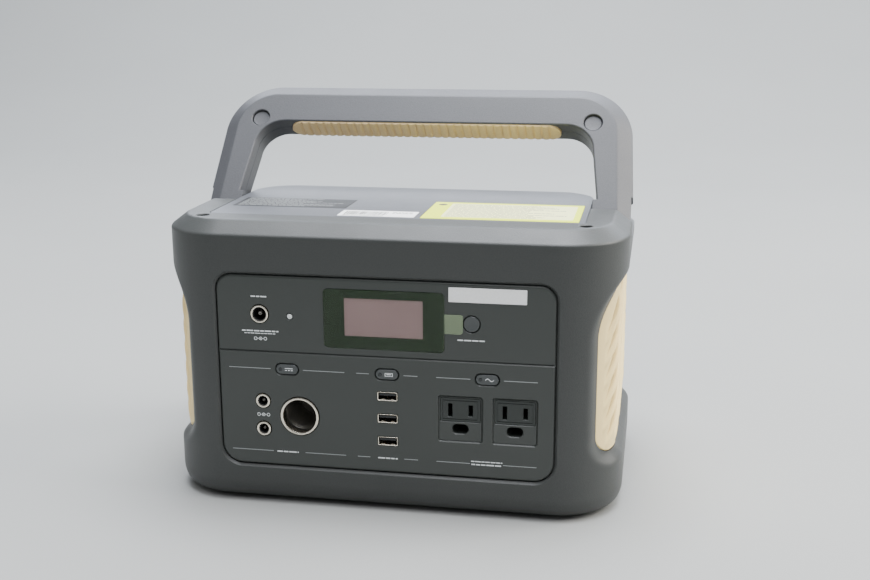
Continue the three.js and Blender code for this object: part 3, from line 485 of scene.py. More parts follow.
def waist_depth(s, z):
    """How far the side is pressed in at a place s round the case and z up."""
    zone = "low" if z < (WAIST_LOW + WAIST_HIGH) / 2 else "high"
    a, b = WAIST_CORNERS[zone]
    along = WAIST_HALF - abs(s)
    up = z - WAIST_LOW if zone == "low" else WAIST_HIGH - z
    if along <= 0 or up <= 0:
        return 0
    if along < a and up < b:
        u, v = (a - along) / a, (b - up) / b
        ratio = math.hypot(u, v)
        if ratio >= 1:
            return 0
        if ratio > 1e-6:
            stretch = (a / LIP_ALONG * u * u + b / LIP * v * v) / ratio ** 2
            inside = min((1 - ratio) * stretch, 9)
            return WAIST_DEPTH * smooth(inside)
    return WAIST_DEPTH * smooth(min(along / LIP_ALONG, up / LIP))


def side_point(s, inset):
    """Point of the right-hand side at s from its middle (towards the back when positive)."""
    radius = CORNER - inset
    if abs(s) <= STRAIGHT:
        return HALF_WIDTH - inset, s
    turn = (abs(s) - STRAIGHT) / CORNER
    x = HALF_WIDTH - CORNER + radius * math.cos(turn)
    return x, math.copysign(STRAIGHT + radius * math.sin(turn), s)


def on_side(side, near, far):
    """A span of x on one side of the middle, lower end first."""
    return sorted((side * near, side * far))


def spaced(low, high, step):
    count = max(1, round((high - low) / step))
    return [low + (high - low) * i / count for i in range(count + 1)]


def side_stations():
    """Places round one side, close together where the recess has its border."""
    quarter = CORNER * math.pi / 2
    fine = spaced(44 * MM, WAIST_HALF + 1.5 * MM, 1.5 * MM)
    rest = spaced(WAIST_HALF + 1.5 * MM, STRAIGHT + quarter, 3 * MM)[1:]
    outer = fine + rest
    middle = spaced(-44 * MM, 44 * MM, 5 * MM)[1:-1]
    return [-s for s in reversed(outer)] + middle + outer


def case_ring(z, inset, stations, waist=True):
    right = []
    for s in stations:
        depth = waist_depth(s, z) if waist else 0
        right.append(side_point(s, inset + depth))
    left = [(-x, y) for x, y in reversed(right)]
    return [(x, y, z) for x, y in right + left]


def case_body(name):
    """The whole outer case: turned-up foot, waisted sides, crisp shoulder and bevelled top."""
    stations = side_stations()
    rings = []
    for i in range(13):
        angle = math.pi / 2 * i / 12
        height = CASE_BOTTOM + TURN_UP * (1 - math.cos(angle))
        rings.append(case_ring(height, BOTTOM_INSET * (1 - math.sin(angle)), stations, False))
    levels = spaced(WAIST_LOW - 0.5 * MM, 52 * MM, 1.4 * MM)
    levels += spaced(52 * MM, 112 * MM, 6 * MM)[1:]
    levels += spaced(112 * MM, WAIST_HIGH + 0.5 * MM, 1.4 * MM)[1:]
    rings += [case_ring(z, 0, stations) for z in levels]
    rise = CASE_TOP - SHOULDER
    slope = BEVEL_INSET / rise
    bends = [(SHOULDER - 1.3 * MM, 0), (SHOULDER - 0.5 * MM, 0.12 * MM), (SHOULDER + 0.1 * MM, 0.5 * MM)]
    bends += [(SHOULDER + 0.9 * MM, 0.9 * MM * slope), (CASE_TOP - 0.9 * MM, BEVEL_INSET - 0.9 * MM * slope)]
    bends += [(CASE_TOP - 0.35 * MM, BEVEL_INSET - 0.2 * MM), (CASE_TOP - 0.08 * MM, BEVEL_INSET + 0.6 * MM)]
    bends += [(CASE_TOP, BEVEL_INSET + 1.6 * MM)]
    rings += [case_ring(z, inset, stations, False) for z, inset in bends]
    return clean(loft(name, rings))


def deck_outline(grow, front_grow, steps=16):
    radii = (4 * MM, 4 * MM, 27 * MM + grow, 27 * MM + grow)
    x = DECK_HIGH.x + grow
    return rounded(-x, x, DECK_LOW.y - front_grow, DECK_HIGH.y + grow, radii, steps)


def case_hollow(name):
    front = -HALF_DEPTH + 6 * MM
    back = HALF_DEPTH - WALL
    wide = HALF_WIDTH - WALL
    narrow = HALF_WIDTH - WAIST_DEPTH - 2.7 * MM
    levels = [
        (6 * MM, wide - 2 * MM, front + 2 * MM, back - 2 * MM, 40 * MM),
        (WAIST_LOW - 6 * MM, wide, front, back, 40 * MM),
        (WAIST_LOW - 1 * MM, narrow, front, back, 40 * MM),
        (LEDGE + 4 * MM, narrow, front, back, 40 * MM),
        (176.5 * MM, narrow - 10 * MM, front + 10 * MM, back, 34 * MM),
    ]
    rings = [[(x, y, z) for x, y in rounded(-w, w, y0, y1, r, 8)] for z, w, y0, y1, r in levels]
    hollow = clean(loft(name, rings))
    behind = block(-0.2, 0.2, SEAM_FRONT - WALL, 0.2, LEDGE - WALL, 0.179)
    plateau = prism(deck_outline(-WALL, 0, 6), LEDGE - WALL - MM, 0.178, "z")
    return combine(hollow, [combine(behind, [plateau])])


# ---- side panel outline
PANEL_EDGE = 82.1 * MM
PANEL_LOW_Z = WAIST_LOW + 7.8 * MM
PANEL_HIGH_Z = WAIST_HIGH - 7.8 * MM
PANEL_LOW_RADIUS = 14.1 * MM
PANEL_HIGH_RADIUS = 33.2 * MM


def panel_outline(grow, steps=14):
    radii = (PANEL_LOW_RADIUS + grow,) * 2 + (PANEL_HIGH_RADIUS + grow,) * 2
    edge = PANEL_EDGE + grow
    return rounded(-edge, edge, PANEL_LOW_Z - grow, PANEL_HIGH_Z + grow, radii, steps)


def panel_openings():
    cutters = []
    for side in (-1, 1):
        cutters.append(prism(panel_outline(0.3 * MM), *on_side(side, 90 * MM, 160 * MM), "x"))
    return cutters


FASCIA_HALF = PANEL_HIGH.x
FASCIA_LOW = PANEL_LOW.z
FASCIA_HIGH = PANEL_HIGH.z


def fascia_outline(grow, steps=14):
    radii = (13 * MM + grow,) * 2 + (10 * MM + grow,) * 2
    edge = FASCIA_HALF + grow
    return rounded(-edge, edge, FASCIA_LOW - grow, FASCIA_HIGH + grow, radii, steps)


def foot_places():
    return [(name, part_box(name)) for name in
            ("foot_front_left", "foot_front_right", "foot_rear_left", "foot_rear_right")]


def centre(box):
    return (box[0] + box[1]) / 2


def foot_cutters(front):
    cutters = []
    for name, box in foot_places():
        if ("front" in name) == front:
            middle = centre(box)
            radius = (box[1].x - box[0].x) / 2 + 0.3 * MM
            outline = circle(middle.x, middle.y, radius)
            cutters.append(prism(outline, -MM, box[1].z + 0.3 * MM, "z"))
    return cutters


def dished_hole(x, y, radius, bottom, top, flare):
    """A screw hole in the top of the case, whose mouth opens at 45 degrees."""
    levels = [(0, bottom), (0, top - flare), (flare + MM, top + MM)]
    rings = [[(u, v, z) for u, v in circle(x, y, radius + grow)] for grow, z in levels]
    return clean(loft("tool", rings))


def make_front_shell():
    shell = case_body("shell_front")
    keep = block(-0.2, 0.2, -0.2, SEAM_FRONT, -0.01, 0.3)
    combine(shell, [keep], "INTERSECT")
    cutters = [case_hollow("hollow")]
    around = lambda grow: fascia_outline(0.5 * MM + grow)
    cutters.append(flared_cutter(around, -HALF_DEPTH, FASCIA_BACK + 0.3 * MM, 1.5 * MM))
    cutters.append(prism(fascia_outline(-5 * MM), -0.11, -0.08, "y"))
    cutters.append(prism(deck_outline(0.3 * MM, 0.3 * MM), DECK_LOW.z - 0.3 * MM, 0.2, "z"))
    cutters += panel_openings() + foot_cutters(True)
    for name in ("top_screw_left", "top_screw_right"):
        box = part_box(name)
        middle = centre(box)
        cutters.append(dished_hole(middle.x, middle.y, 4 * MM, box[0].z - 0.3 * MM, CASE_TOP, 0.5 * MM))
    combine(shell, cutters)
    shell = bevelled(shell, 0.35 * MM, 2, 42)
    finish_piece(shell, "shell", "front_shell")


def make_rear_shell():
    shell = case_body("shell_rear")
    keep = block(-0.2, 0.2, SEAM_FRONT + 0.3 * MM, 0.2, -0.01, 0.3)
    combine(shell, [keep], "INTERSECT")
    lower = block(-0.2, 0.2, -0.2, 0.2, LEDGE, 0.3)
    combine(shell, [lower])
    plateau = prism(deck_outline(0, 0), LEDGE - MM, DECK_LOW.z - 0.3 * MM, "z")
    combine(plateau, [block(-0.2, 0.2, -0.2, SEAM_FRONT + 0.3 * MM, 0, 0.3)])
    combine(shell, [plateau], "UNION")
    cutters = [case_hollow("hollow")] + panel_openings() + foot_cutters(False)
    for name in ("pivot_pin_left", "pivot_pin_right"):
        low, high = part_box(name)
        radius = (high.z - low.z) / 2 + 0.3 * MM
        outline = circle((low.y + high.y) / 2, (low.z + high.z) / 2, radius, 32)
        side = math.copysign(1, low.x + high.x)
        cutters.append(prism(outline, *on_side(side, 110.7 * MM, 130 * MM), "x"))
    for name in REAR_SCREWS:
        middle = centre(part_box(name))
        cutters.append(prism(circle(middle.x, middle.z, 4.5 * MM), HALF_DEPTH - 2 * MM, 0.2, "y"))
    combine(shell, cutters)
    shell = bevelled(shell, 0.35 * MM, 2, 42)
    finish_piece(shell, "shell", "rear_shell")


# ---- side grilles
SLOT_COUNT = 9
SLOT_PITCH = 14 * MM
SLOT_FIRST = 38 * MM
SLOT_HALF = 1.5 * MM
SLOT_RUN = 78 * MM
SLOT_MARGIN = 8 * MM


def slot_level(y):
    along = y / SLOT_RUN
    return 33 * MM * along ** 3 + 6 * MM * along


def outline_room(y, z):
    """Distance from the nearest edge of the side panel, negative outside it."""
    low_side = z < (PANEL_LOW_Z + PANEL_HIGH_Z) / 2
    radius = PANEL_LOW_RADIUS if low_side else PANEL_HIGH_RADIUS
    up = z - PANEL_LOW_Z if low_side else PANEL_HIGH_Z - z
    along = PANEL_EDGE - abs(y)
    if along < radius and up < radius:
        return radius - math.hypot(radius - along, radius - up)
    return min(along, up)


def slot_spans():
    """For each slot, the middle line's height and its first and last y."""
    spans = []
    for k in range(SLOT_COUNT):
        middle = SLOT_FIRST + SLOT_PITCH * k
        ys = [y for y in spaced(-SLOT_RUN, SLOT_RUN, 0.5 * MM)
              if outline_room(y, middle + slot_level(y)) > SLOT_MARGIN]
        if ys:
            spans.append((middle, ys[0], ys[-1]))
    return spans


def slot_taper(y, first, last):
    """Width of a slot between 0 and 1: full in the middle, rounded off towards both ends."""
    near, far = (max(0, min(1, room / (11 * MM))) for room in (y - first, last - y))
    return math.sqrt(near) * math.sqrt(far)


def louvre_relief(y, z, spans):
    """How far the grille stands out at a point: a rolled lip under each slot, a scoop above it."""
    relief = 0
    for middle, first, last in spans:
        gap = z - middle - slot_level(y)
        if abs(gap) > 9 * MM:
            continue
        taper = slot_taper(y, first - 2 * MM, last + 2 * MM)
        steep = math.sqrt(1 + (99 * MM / SLOT_RUN * (y / SLOT_RUN) ** 2 + 6 * MM / SLOT_RUN) ** 2)
        square = gap / steep / MM
        lip = 1.5 * math.exp(-((square + 2.6) / 1.1) ** 2)
        scoop = -1.5 * smooth((6.4 - square) / 4.6) if square > -1.5 else 0
        scoop *= smooth((square + 1.5) / 1.2)
        relief += (lip + scoop) * MM * taper
    return relief


def panel_heights(y):
    """Lowest and highest z of the panel at y."""
    low, high = PANEL_LOW_Z, PANEL_HIGH_Z
    for radius, is_low in ((PANEL_LOW_RADIUS, True), (PANEL_HIGH_RADIUS, False)):
        over = abs(y) - (PANEL_EDGE - radius)
        if over > 0:
            bend = radius - math.sqrt(max(0, radius ** 2 - over ** 2))
            low, high = (low + bend, high) if is_low else (low, high - bend)
    return low, high


def panel_surface(stations, rows, spans, back):
    """Rings across the panel: one per station, from the outer face round to the inner face."""
    rings = []
    for s in stations:
        y = side_point(s, WAIST_DEPTH)[1]
        low, high = panel_heights(y)
        soft = []
        for i in range(rows + 1):
            z = low + (high - low) * i / rows
            room = max(0, outline_room(y, z))
            drop = 0.6 * MM * (1 - math.sqrt(1 - (1 - min(1, room / (0.9 * MM))) ** 2))
            inset = WAIST_DEPTH + drop - louvre_relief(y, z, spans)
            px, py = side_point(s, inset)
            soft.append((px, py, z))
        flat = []
        for i in range(rows, -1, -1):
            z = low + (high - low) * i / rows
            px, py = side_point(s, WAIST_DEPTH + back)
            flat.append((px, py, z))
        rings.append(soft + flat)
    return rings


def make_side_panel(side):
    spans = slot_spans()
    reach = STRAIGHT + CORNER * math.asin((PANEL_EDGE - 0.02 * MM - STRAIGHT) / (CORNER - WAIST_DEPTH))
    outer = spaced(36 * MM, reach, 1.0 * MM)
    stations = [-s for s in reversed(outer)] + spaced(-36 * MM, 36 * MM, 2.4 * MM)[1:-1] + outer
    rows = 150
    panel = clean(loft("panel", panel_surface(stations, rows, spans, 2.4 * MM)), 50)
    slots = []
    for middle, first, last in spans:
        ys = spaced(first, last, 1.5 * MM)
        width = [SLOT_HALF * max(0.05, slot_taper(y, first, last)) for y in ys]
        lower = [(y, middle + slot_level(y) - w) for y, w in zip(ys, width)]
        upper = [(y, middle + slot_level(y) + w) for y, w in zip(ys, width)]
        slots.append(prism(lower + upper[::-1], 90 * MM, 160 * MM, "x"))
    combine(panel, [joined("slots", slots)])
    name = "grille_right" if side > 0 else "grille_left"
    if side < 0:
        panel.data.transform(Matrix.Scale(-1, 4, (1, 0, 0)))
        panel.data.flip_normals()
    panel.name = name
    clean(panel, 38)
    node = "side_panel_right" if side > 0 else "side_panel_left"
    finish_piece(panel, "tan", node)


# ---- shaped blanks and cutters


def cushion(name, outline_at, low, high, axis, low_round=0.0, high_round=0.0, steps=5):
    """A prism whose ends are rounded over. outline_at(grow) gives the outline, grown or shrunk."""
    place = PLANES[axis]
    turns = [math.pi / 2 * i / steps for i in range(steps + 1)]
    levels = []
    for turn in turns if low_round else [math.pi / 2]:
        levels.append((-low_round * (1 - math.sin(turn)), low + low_round * (1 - math.cos(turn))))
    for turn in turns if high_round else [0]:
        levels.append((-high_round * (1 - math.cos(turn)), high - high_round * (1 - math.sin(turn))))
    rings = [[place(u, v, w) for u, v in outline_at(grow)] for grow, w in levels]
    return clean(loft(name, rings))


def flared_cutter(outline_at, front, back, flare):
    """A hole seen from the front, whose mouth opens at 45 degrees."""
    levels = [(flare + MM, front - MM), (0, front + flare), (0, back)]
    rings = [[(u, w, v) for u, v in outline_at(grow)] for grow, w in levels]
    return clean(loft("flared_cutter", rings))


def round_at(x, z, radius, steps=48):
    return lambda grow: circle(x, z, radius + grow, steps)


def box_at(u0, u1, v0, v1, radius, steps=8):
    def outline(grow):
        return rounded(u0 - grow, u1 + grow, v0 - grow, v1 + grow, max(0.01 * MM, radius + grow), steps)
    return outline


def pill_at(x, z, half_length, half_height, steps=16):
    def outline(grow):
        u, v = half_length + grow, half_height + grow
        return rounded(x - u, x + u, z - v, z + v, v - 0.01 * MM, steps)
    return outline


def bars(name, rectangles, low, high, axis):
    """Thin printed bars, each (u0, u1, v0, v1)."""
    return joined(name, [prism([(u0, v0), (u1, v0), (u1, v1), (u0, v1)], low, high, axis)
                         for u0, u1, v0, v1 in rectangles])


def dashes(u0, u1, v, height, chance, longest):
    """Bars in a row standing for a line of print, without any letters."""
    rectangles = []
    u = u0
    while u < u1 - 0.3 * MM:
        length = min(chance.uniform(0.35, 1) * longest, u1 - u)
        rectangles.append((u, u + length, v - height / 2, v + height / 2))
        u += length + height * 0.7
    return rectangles


def front_plate(name, node, radius, soft):
    """A rounded plate that fills a node's box on the front, its front edge softened."""
    low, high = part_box(node)
    return cushion(name, box_at(*box_sides(node), radius), low.y, high.y, "y", soft)


# ---- front panel
WINDOW_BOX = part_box("display_window")
PILL_BOXES = {name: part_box(name) for name in ("dc_button", "usb_button", "ac_button")}
PILL_HALF_LENGTH = 7 * MM
PILL_HALF_HEIGHT = 3.2 * MM
USB_NAMES = ("usb_port_top", "usb_port_middle", "usb_port_bottom")
OUTLET_NAMES = ("ac_outlet_left", "ac_outlet_right")
JACKS = {"input_jack": 4.0 * MM, "dc_jack_upper": 2.8 * MM, "dc_jack_lower": 2.8 * MM}
DIVIDER_Z = 101.5 * MM
PLATE_LINE_Z = (90.1 * MM, 35.7 * MM)


def box_sides(name, grow=0.0):
    low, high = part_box(name)
    return low.x - grow, high.x + grow, low.z - grow, high.z + grow


def make_front_panel():
    plate = cushion("fascia", fascia_outline, FASCIA_FRONT, FASCIA_BACK, "y", 1.7 * MM, 0, 8)
    back = FASCIA_BACK + MM
    flare = 0.35 * MM
    cutters = []
    step = [(FASCIA_FRONT - MM, 0.4), (FASCIA_FRONT + MM, 0.4), (FASCIA_FRONT + MM, -0.2),
            (FASCIA_FRONT - MM, -2.4)]
    groove = [(y, DIVIDER_Z + z * MM) for y, z in step]
    cutters.append(prism(groove, -FASCIA_HALF - MM, FASCIA_HALF + MM, "x"))
    cutters.append(flared_cutter(box_at(*box_sides("display_window"), 3 * MM), FASCIA_FRONT, back, 0.3 * MM))
    cutters.append(prism(box_at(*box_sides("name_plate", 0.3 * MM), 0.5 * MM)(0),
                         FASCIA_FRONT - MM, FASCIA_FRONT + 0.4 * MM, "y"))
    middle = centre(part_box("display_button"))
    cutters.append(flared_cutter(round_at(middle.x, middle.z, 5.4 * MM), FASCIA_FRONT, back, flare))
    for name in [*JACKS, "charge_light", "car_socket"]:
        low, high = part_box(name)
        middle = (low + high) / 2
        radius = (high.z - low.z) / 2 + 0.3 * MM
        cutters.append(flared_cutter(round_at(middle.x, middle.z, radius, 96), FASCIA_FRONT, back, flare))
    for box in PILL_BOXES.values():
        middle = centre(box)
        outline = pill_at(middle.x, middle.z, PILL_HALF_LENGTH + 0.5 * MM, PILL_HALF_HEIGHT + 0.5 * MM)
        cutters.append(flared_cutter(outline, FASCIA_FRONT, back, 0.6 * MM))
    for name in USB_NAMES:
        outline = box_at(*box_sides(name, 0.15 * MM), 0.6 * MM)
        cutters.append(flared_cutter(outline, FASCIA_FRONT, back, 0.3 * MM))
    for name in OUTLET_NAMES:
        outline = box_at(*box_sides(name, 0.2 * MM), 1.5 * MM)
        cutters.append(flared_cutter(outline, FASCIA_FRONT, back, 0.9 * MM))
    combine(plate, cutters, sharp_degrees=30)
    finish_piece(plate, "fascia", "front_panel")


def polarity_sign(x, z):
    """Three little rings on a line with a dot in the middle one."""
    parts = []
    front, back = FASCIA_FRONT - 0.04 * MM, FASCIA_FRONT + 0.02 * MM
    for i in (-1, 0, 1):
        u = x + i * 3.1 * MM
        inner, outer = 0.75 * MM, 1.1 * MM
        profile = [(inner, front), (outer, front), (outer, back), (inner, back), (inner, front)]
        parts.append(turned("ring", Vector((u, 0, z)), profile, "y", 32))
    parts.append(prism(circle(x, z, 0.35 * MM, 16), front, back, "y"))
    for u in (-1.55, 1.55):
        parts.append(prism(box_at(x + (u - 0.4) * MM, x + (u + 0.4) * MM, z - 0.12 * MM,
                                           z + 0.12 * MM, 0.02 * MM, 1)(0), front, back, "y"))
    return parts


def make_front_print():
    chance = random.Random(7)
    front, back = FASCIA_FRONT - 0.04 * MM, FASCIA_FRONT + 0.02 * MM
    spans = [(-99, -72), (-51, -24.6), (-17, -9), (12.7, 21.4), (33, 54), (74.5, 95)]
    lines = [(a * MM, b * MM, z - 0.2 * MM, z + 0.2 * MM) for z in PLATE_LINE_Z for a, b in spans]
    rules = bars("panel_rules", lines, front, back, "y")
    finish_piece(rules, "dim_ink")
    rows = [(-83, -72.5, 136.3, 0.8, 5), (-89.5, -66, 114.3, 0.8, 6), (-88, -68, 112.7, 0.5, 4),
            (-69.5, -55.5, 35.6, 0.8, 5), (-4, 8.5, 35.6, 0.8, 5), (54.6, 74, 37.2, 0.6, 4),
            (54.9, 73.6, 35.2, 0.8, 6), (46.2, 63, 114.4, 0.8, 6)]
    words = []
    for u0, u1, z, height, longest in rows:
        words += dashes(u0 * MM, u1 * MM, z * MM, height * MM, chance, longest * MM)
    print_bars = bars("panel_words", words, front, back, "y")
    signs = polarity_sign(-77.7 * MM, 109.4 * MM) + polarity_sign(-77.6 * MM, 59.6 * MM)
    legend = joined("panel_print", [print_bars] + signs)
    finish_piece(legend, "ink")


# ---- display
SCREEN = (-24 * MM, 25 * MM, 113.6 * MM, 137.6 * MM)


def make_display():
    low, high = WINDOW_BOX
    window = front_plate("display_window_frame", "display_window", 3 * MM, 0.25 * MM)
    hole = prism(box_at(*SCREEN, 0.6 * MM)(0), low.y - MM, high.y + MM, "y")
    combine(window, [hole], sharp_degrees=30)
    finish_piece(window, "window", "display_window")
    u0, u1, v0, v1 = SCREEN
    gap = 0.05 * MM
    face = box_at(u0 + gap, u1 - gap, v0 + gap, v1 - gap, 0.5 * MM)
    glass = cushion("display_screen", face, low.y + 0.35 * MM, high.y, "y", 0.1 * MM)
    finish_piece(glass, "screen")
    film_low, film_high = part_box("display_film")
    cover = box_at(film_low.x, high.x, film_low.z, film_high.z, 3 * MM)
    sheet = cushion("display_film_sheet", cover, film_low.y, film_high.y, "y", 0.05 * MM)
    pull = box_at(high.x - 6 * MM, film_high.x, 118 * MM, 130 * MM, 1.6 * MM)
    tab = cushion("tab", pull, film_low.y, film_high.y, "y", 0.05 * MM)
    combine(sheet, [tab], "UNION", 30)
    finish_piece(sheet, "film", "display_film")


def make_name_plate():
    plate = front_plate("blank_plate", "name_plate", 0.4 * MM, 0.08 * MM)
    finish_piece(plate, "white_label", "name_plate")


# ---- buttons and lights


def make_display_button():
    low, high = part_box("display_button")
    middle = (low + high) / 2
    radius = (high.x - low.x) / 2 / MM
    depth = (high.y - low.y) / MM
    profile = [(0, 0.35), (1.6, 0.3), (3.2, 0.12), (radius - 0.75, 0), (radius - 0.3, 0.08),
               (radius - 0.06, 0.35), (radius, 0.7), (radius, depth), (0, depth)]
    cap = turned("display_button_cap", Vector((middle.x, 0, middle.z)), in_mm(profile, low.y), "y", 72)
    finish_piece(cap, "button", "display_button", body="display_button")


def make_pill_button(name, marks):
    low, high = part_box(name)
    middle = (low + high) / 2
    outline = pill_at(middle.x, middle.z, PILL_HALF_LENGTH, PILL_HALF_HEIGHT, 20)
    cap = cushion(name + "_cap", outline, low.y, high.y, "y", 0.7 * MM)
    lamp_x = middle.x - 4.2 * MM
    combine(cap, [prism(circle(lamp_x, middle.z, 1.15 * MM, 32), low.y - MM, low.y + 0.5 * MM, "y")])
    clean(cap, 30)
    finish_piece(cap, "button", name, body=name)
    profile = [(0, 0.12), (0.5, 0.14), (0.9, 0.26), (1.0, 0.5), (0, 0.5)]
    lamp = turned(name + "_lamp", Vector((lamp_x, 0, middle.z)), in_mm(profile, low.y), "y", 32)
    finish_piece(lamp, "dark_lens", body=name)
    rectangles = [((a * MM) + middle.x, (b * MM) + middle.x, (c * MM) + middle.z, (d * MM) + middle.z)
                  for a, b, c, d in marks]
    sign = bars(name + "_sign", rectangles, low.y - 0.03 * MM, low.y + 0.02 * MM, "y")
    finish_piece(sign, "ink", body=name)


def make_buttons():
    make_display_button()
    steady = [(-1.2, 3.8, 0.35, 0.85)]
    steady += [(u0, u1, -0.85, -0.35) for u0, u1 in ((-1.2, 0.1), (0.75, 1.85), (2.5, 3.8))]
    port = [(-1.2, 3.8, 0.75, 1.1), (-1.2, 3.8, -1.1, -0.75), (-1.2, -0.8, -0.75, 0.75)]
    port += [(3.4, 3.8, -0.75, 0.75), (-0.1, 2.7, -0.1, 0.4)]
    wave = []
    for i in range(26):
        u, height = -1.2 + 0.2 * i, 0.75 * math.sin(i * math.pi / 12.5)
        wave.append((u, u + 0.2, height - 0.25, height + 0.25))
    make_pill_button("dc_button", steady)
    make_pill_button("usb_button", port)
    make_pill_button("ac_button", wave)


def make_charge_light():
    low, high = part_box("charge_light")
    middle = (low + high) / 2
    depth = (high.y - low.y) / MM
    profile = [(0, 0), (0.7, 0.05), (1.25, 0.2), (1.6, 0.45), (1.75, 0.9), (1.75, depth), (0, depth)]
    lens = turned("charge_lens", Vector((middle.x, 0, middle.z)), in_mm(profile, low.y), "y", 48)
    finish_piece(lens, "clear_lens", "charge_light")


# ---- sockets


def make_jack(name, bore):
    """Barrel socket: a bright ring, a black cup and the pin inside, with profiles in millimetres."""
    low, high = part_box(name)
    middle = Vector(((low.x + high.x) / 2, 0, (low.z + high.z) / 2))
    outer = (high.x - low.x) / 2 / MM
    depth = (high.y - low.y) / MM
    hole = bore / MM
    ring_in = hole + 0.35
    rim = [(ring_in, 0.55), (ring_in + 0.15, 0.18), (ring_in + 0.5, 0), (outer - 0.45, 0),
           (outer - 0.12, 0.16), (outer, 0.6), (outer, 5), (ring_in, 5), (ring_in, 0.55)]
    ring = turned(name + "_ring", middle, in_mm(rim, low.y), "y", 96)
    finish_piece(ring, "nickel", name)
    cup = [(0, 10.5), (hole, 10.5), (hole, 0.7), (ring_in - 0.04, 0.5), (ring_in - 0.04, 5.1),
           (outer, 5.1), (outer, depth), (0, depth)]
    body = turned(name + "_body", middle, in_mm(cup, low.y), "y", 64)
    finish_piece(body, "black")
    thick = 1.3 if name == "input_jack" else 1
    tip = [(0.35, 2.6), (0.4, 2.0), (thick - 0.3, 1.9), (thick, 2.2)]
    tip += [(thick, 10.4), (0.35, 10.4), (0.35, 2.6)]
    pin = turned(name + "_pin", middle, in_mm(tip, low.y), "y", 32)
    finish_piece(pin, "dark_metal")


def make_car_socket():
    """Lighter-type socket: a bright rim, a ribbed tube and the middle contact. Profiles in millimetres."""
    low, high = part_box("car_socket")
    middle = Vector(((low.x + high.x) / 2, 0, (low.z + high.z) / 2))
    outer = (high.x - low.x) / 2 / MM
    end = (high.y - low.y) / MM
    bore = 10.5
    rim = [(bore, 1.6), (bore + 0.1, 0.7), (bore + 0.4, 0.18), (bore + 0.8, 0), (outer - 0.6, 0),
           (outer - 0.18, 0.2), (outer, 0.8), (outer, 4), (bore, 4), (bore, 1.6)]
    ring = turned("car_socket_rim", middle, in_mm(rim, low.y), "y", 128)
    finish_piece(ring, "nickel", "car_socket")
    wall = [(bore, 4.1)]
    for i in range(12):
        y = 7 + 2.2 * i
        wall += [(bore, y), (bore + 0.25, y + 0.3), (bore + 0.25, y + 0.8), (bore, y + 1.1)]
    wall += [(bore, end - 3), (3.2, end - 3), (3.2, end), (outer, end), (outer, 4.1), (bore, 4.1)]
    tube = turned("car_socket_tube", middle, in_mm(wall, low.y), "y", 96)
    finish_piece(tube, "dark_metal")
    low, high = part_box("car_socket_contact")
    reach = (high.y - low.y) / MM
    tip = [(0, 0), (1.2, 0.15), (2.0, 0.7), (2.3, 1.5), (2.8, 1.9), (2.8, reach), (0, reach)]
    button = turned("car_socket_tip", middle, in_mm(tip, low.y), "y", 48)
    finish_piece(button, "nickel", "car_socket_contact")


def make_usb_port(name):
    low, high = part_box(name)
    x, z = (low.x + high.x) / 2, (low.z + high.z) / 2
    half_width, half_height = (high.x - low.x) / 2, (high.z - low.z) / 2
    wall = 0.45 * MM
    shell = front_plate(name + "_shell", name, 0.7 * MM, 0.12 * MM)
    inner = box_at(low.x + wall, high.x - wall, low.z + wall, high.z - wall, 0.4 * MM)
    combine(shell, [flared_cutter(inner, low.y, high.y - 1.5 * MM, 0.2 * MM)])
    springs = []
    for u in (-3, 3):
        springs.append(block(x + (u - 1) * MM, x + (u + 1) * MM, low.y + 1.2 * MM, low.y + 6 * MM,
                             z - half_height + wall - 0.1 * MM, z - half_height + wall + 0.35 * MM))
    combine(shell, [joined("springs", springs)], "UNION", 30)
    finish_piece(shell, "nickel", name)
    board = box_at(x - half_width + MM, x + half_width - MM, z + 0.25 * MM, z + 1.75 * MM, 0.2 * MM)
    tongue = cushion(name + "_tongue", board, low.y + 0.9 * MM, high.y - 1.7 * MM, "y", 0.15 * MM)
    finish_piece(tongue, "black")
    places = [(x + (u - 0.5) * MM, x + (u + 0.5) * MM) for u in (-3.5, -1.2, 1.2, 3.5)]
    rectangles = [(u0, u1, low.y + 1.5 * MM, low.y + 9 * MM) for u0, u1 in places]
    strips = bars(name + "_contacts", rectangles, z + 0.15 * MM, z + 0.32 * MM, "z")
    finish_piece(strips, "copper")
    liner = cushion(name + "_liner", inner, high.y - 1.95 * MM, high.y - 1.55 * MM, "y", 0.05 * MM)
    finish_piece(liner, "black")


BLADES = {-6.35: 4.2, 6.35: 3.5}
BLADE_Z = 69.3 * MM
GROUND_Z = 57.4 * MM
STEP_Z = (62 * MM, 77.4 * MM)
STEP_HALF = 12.6 * MM


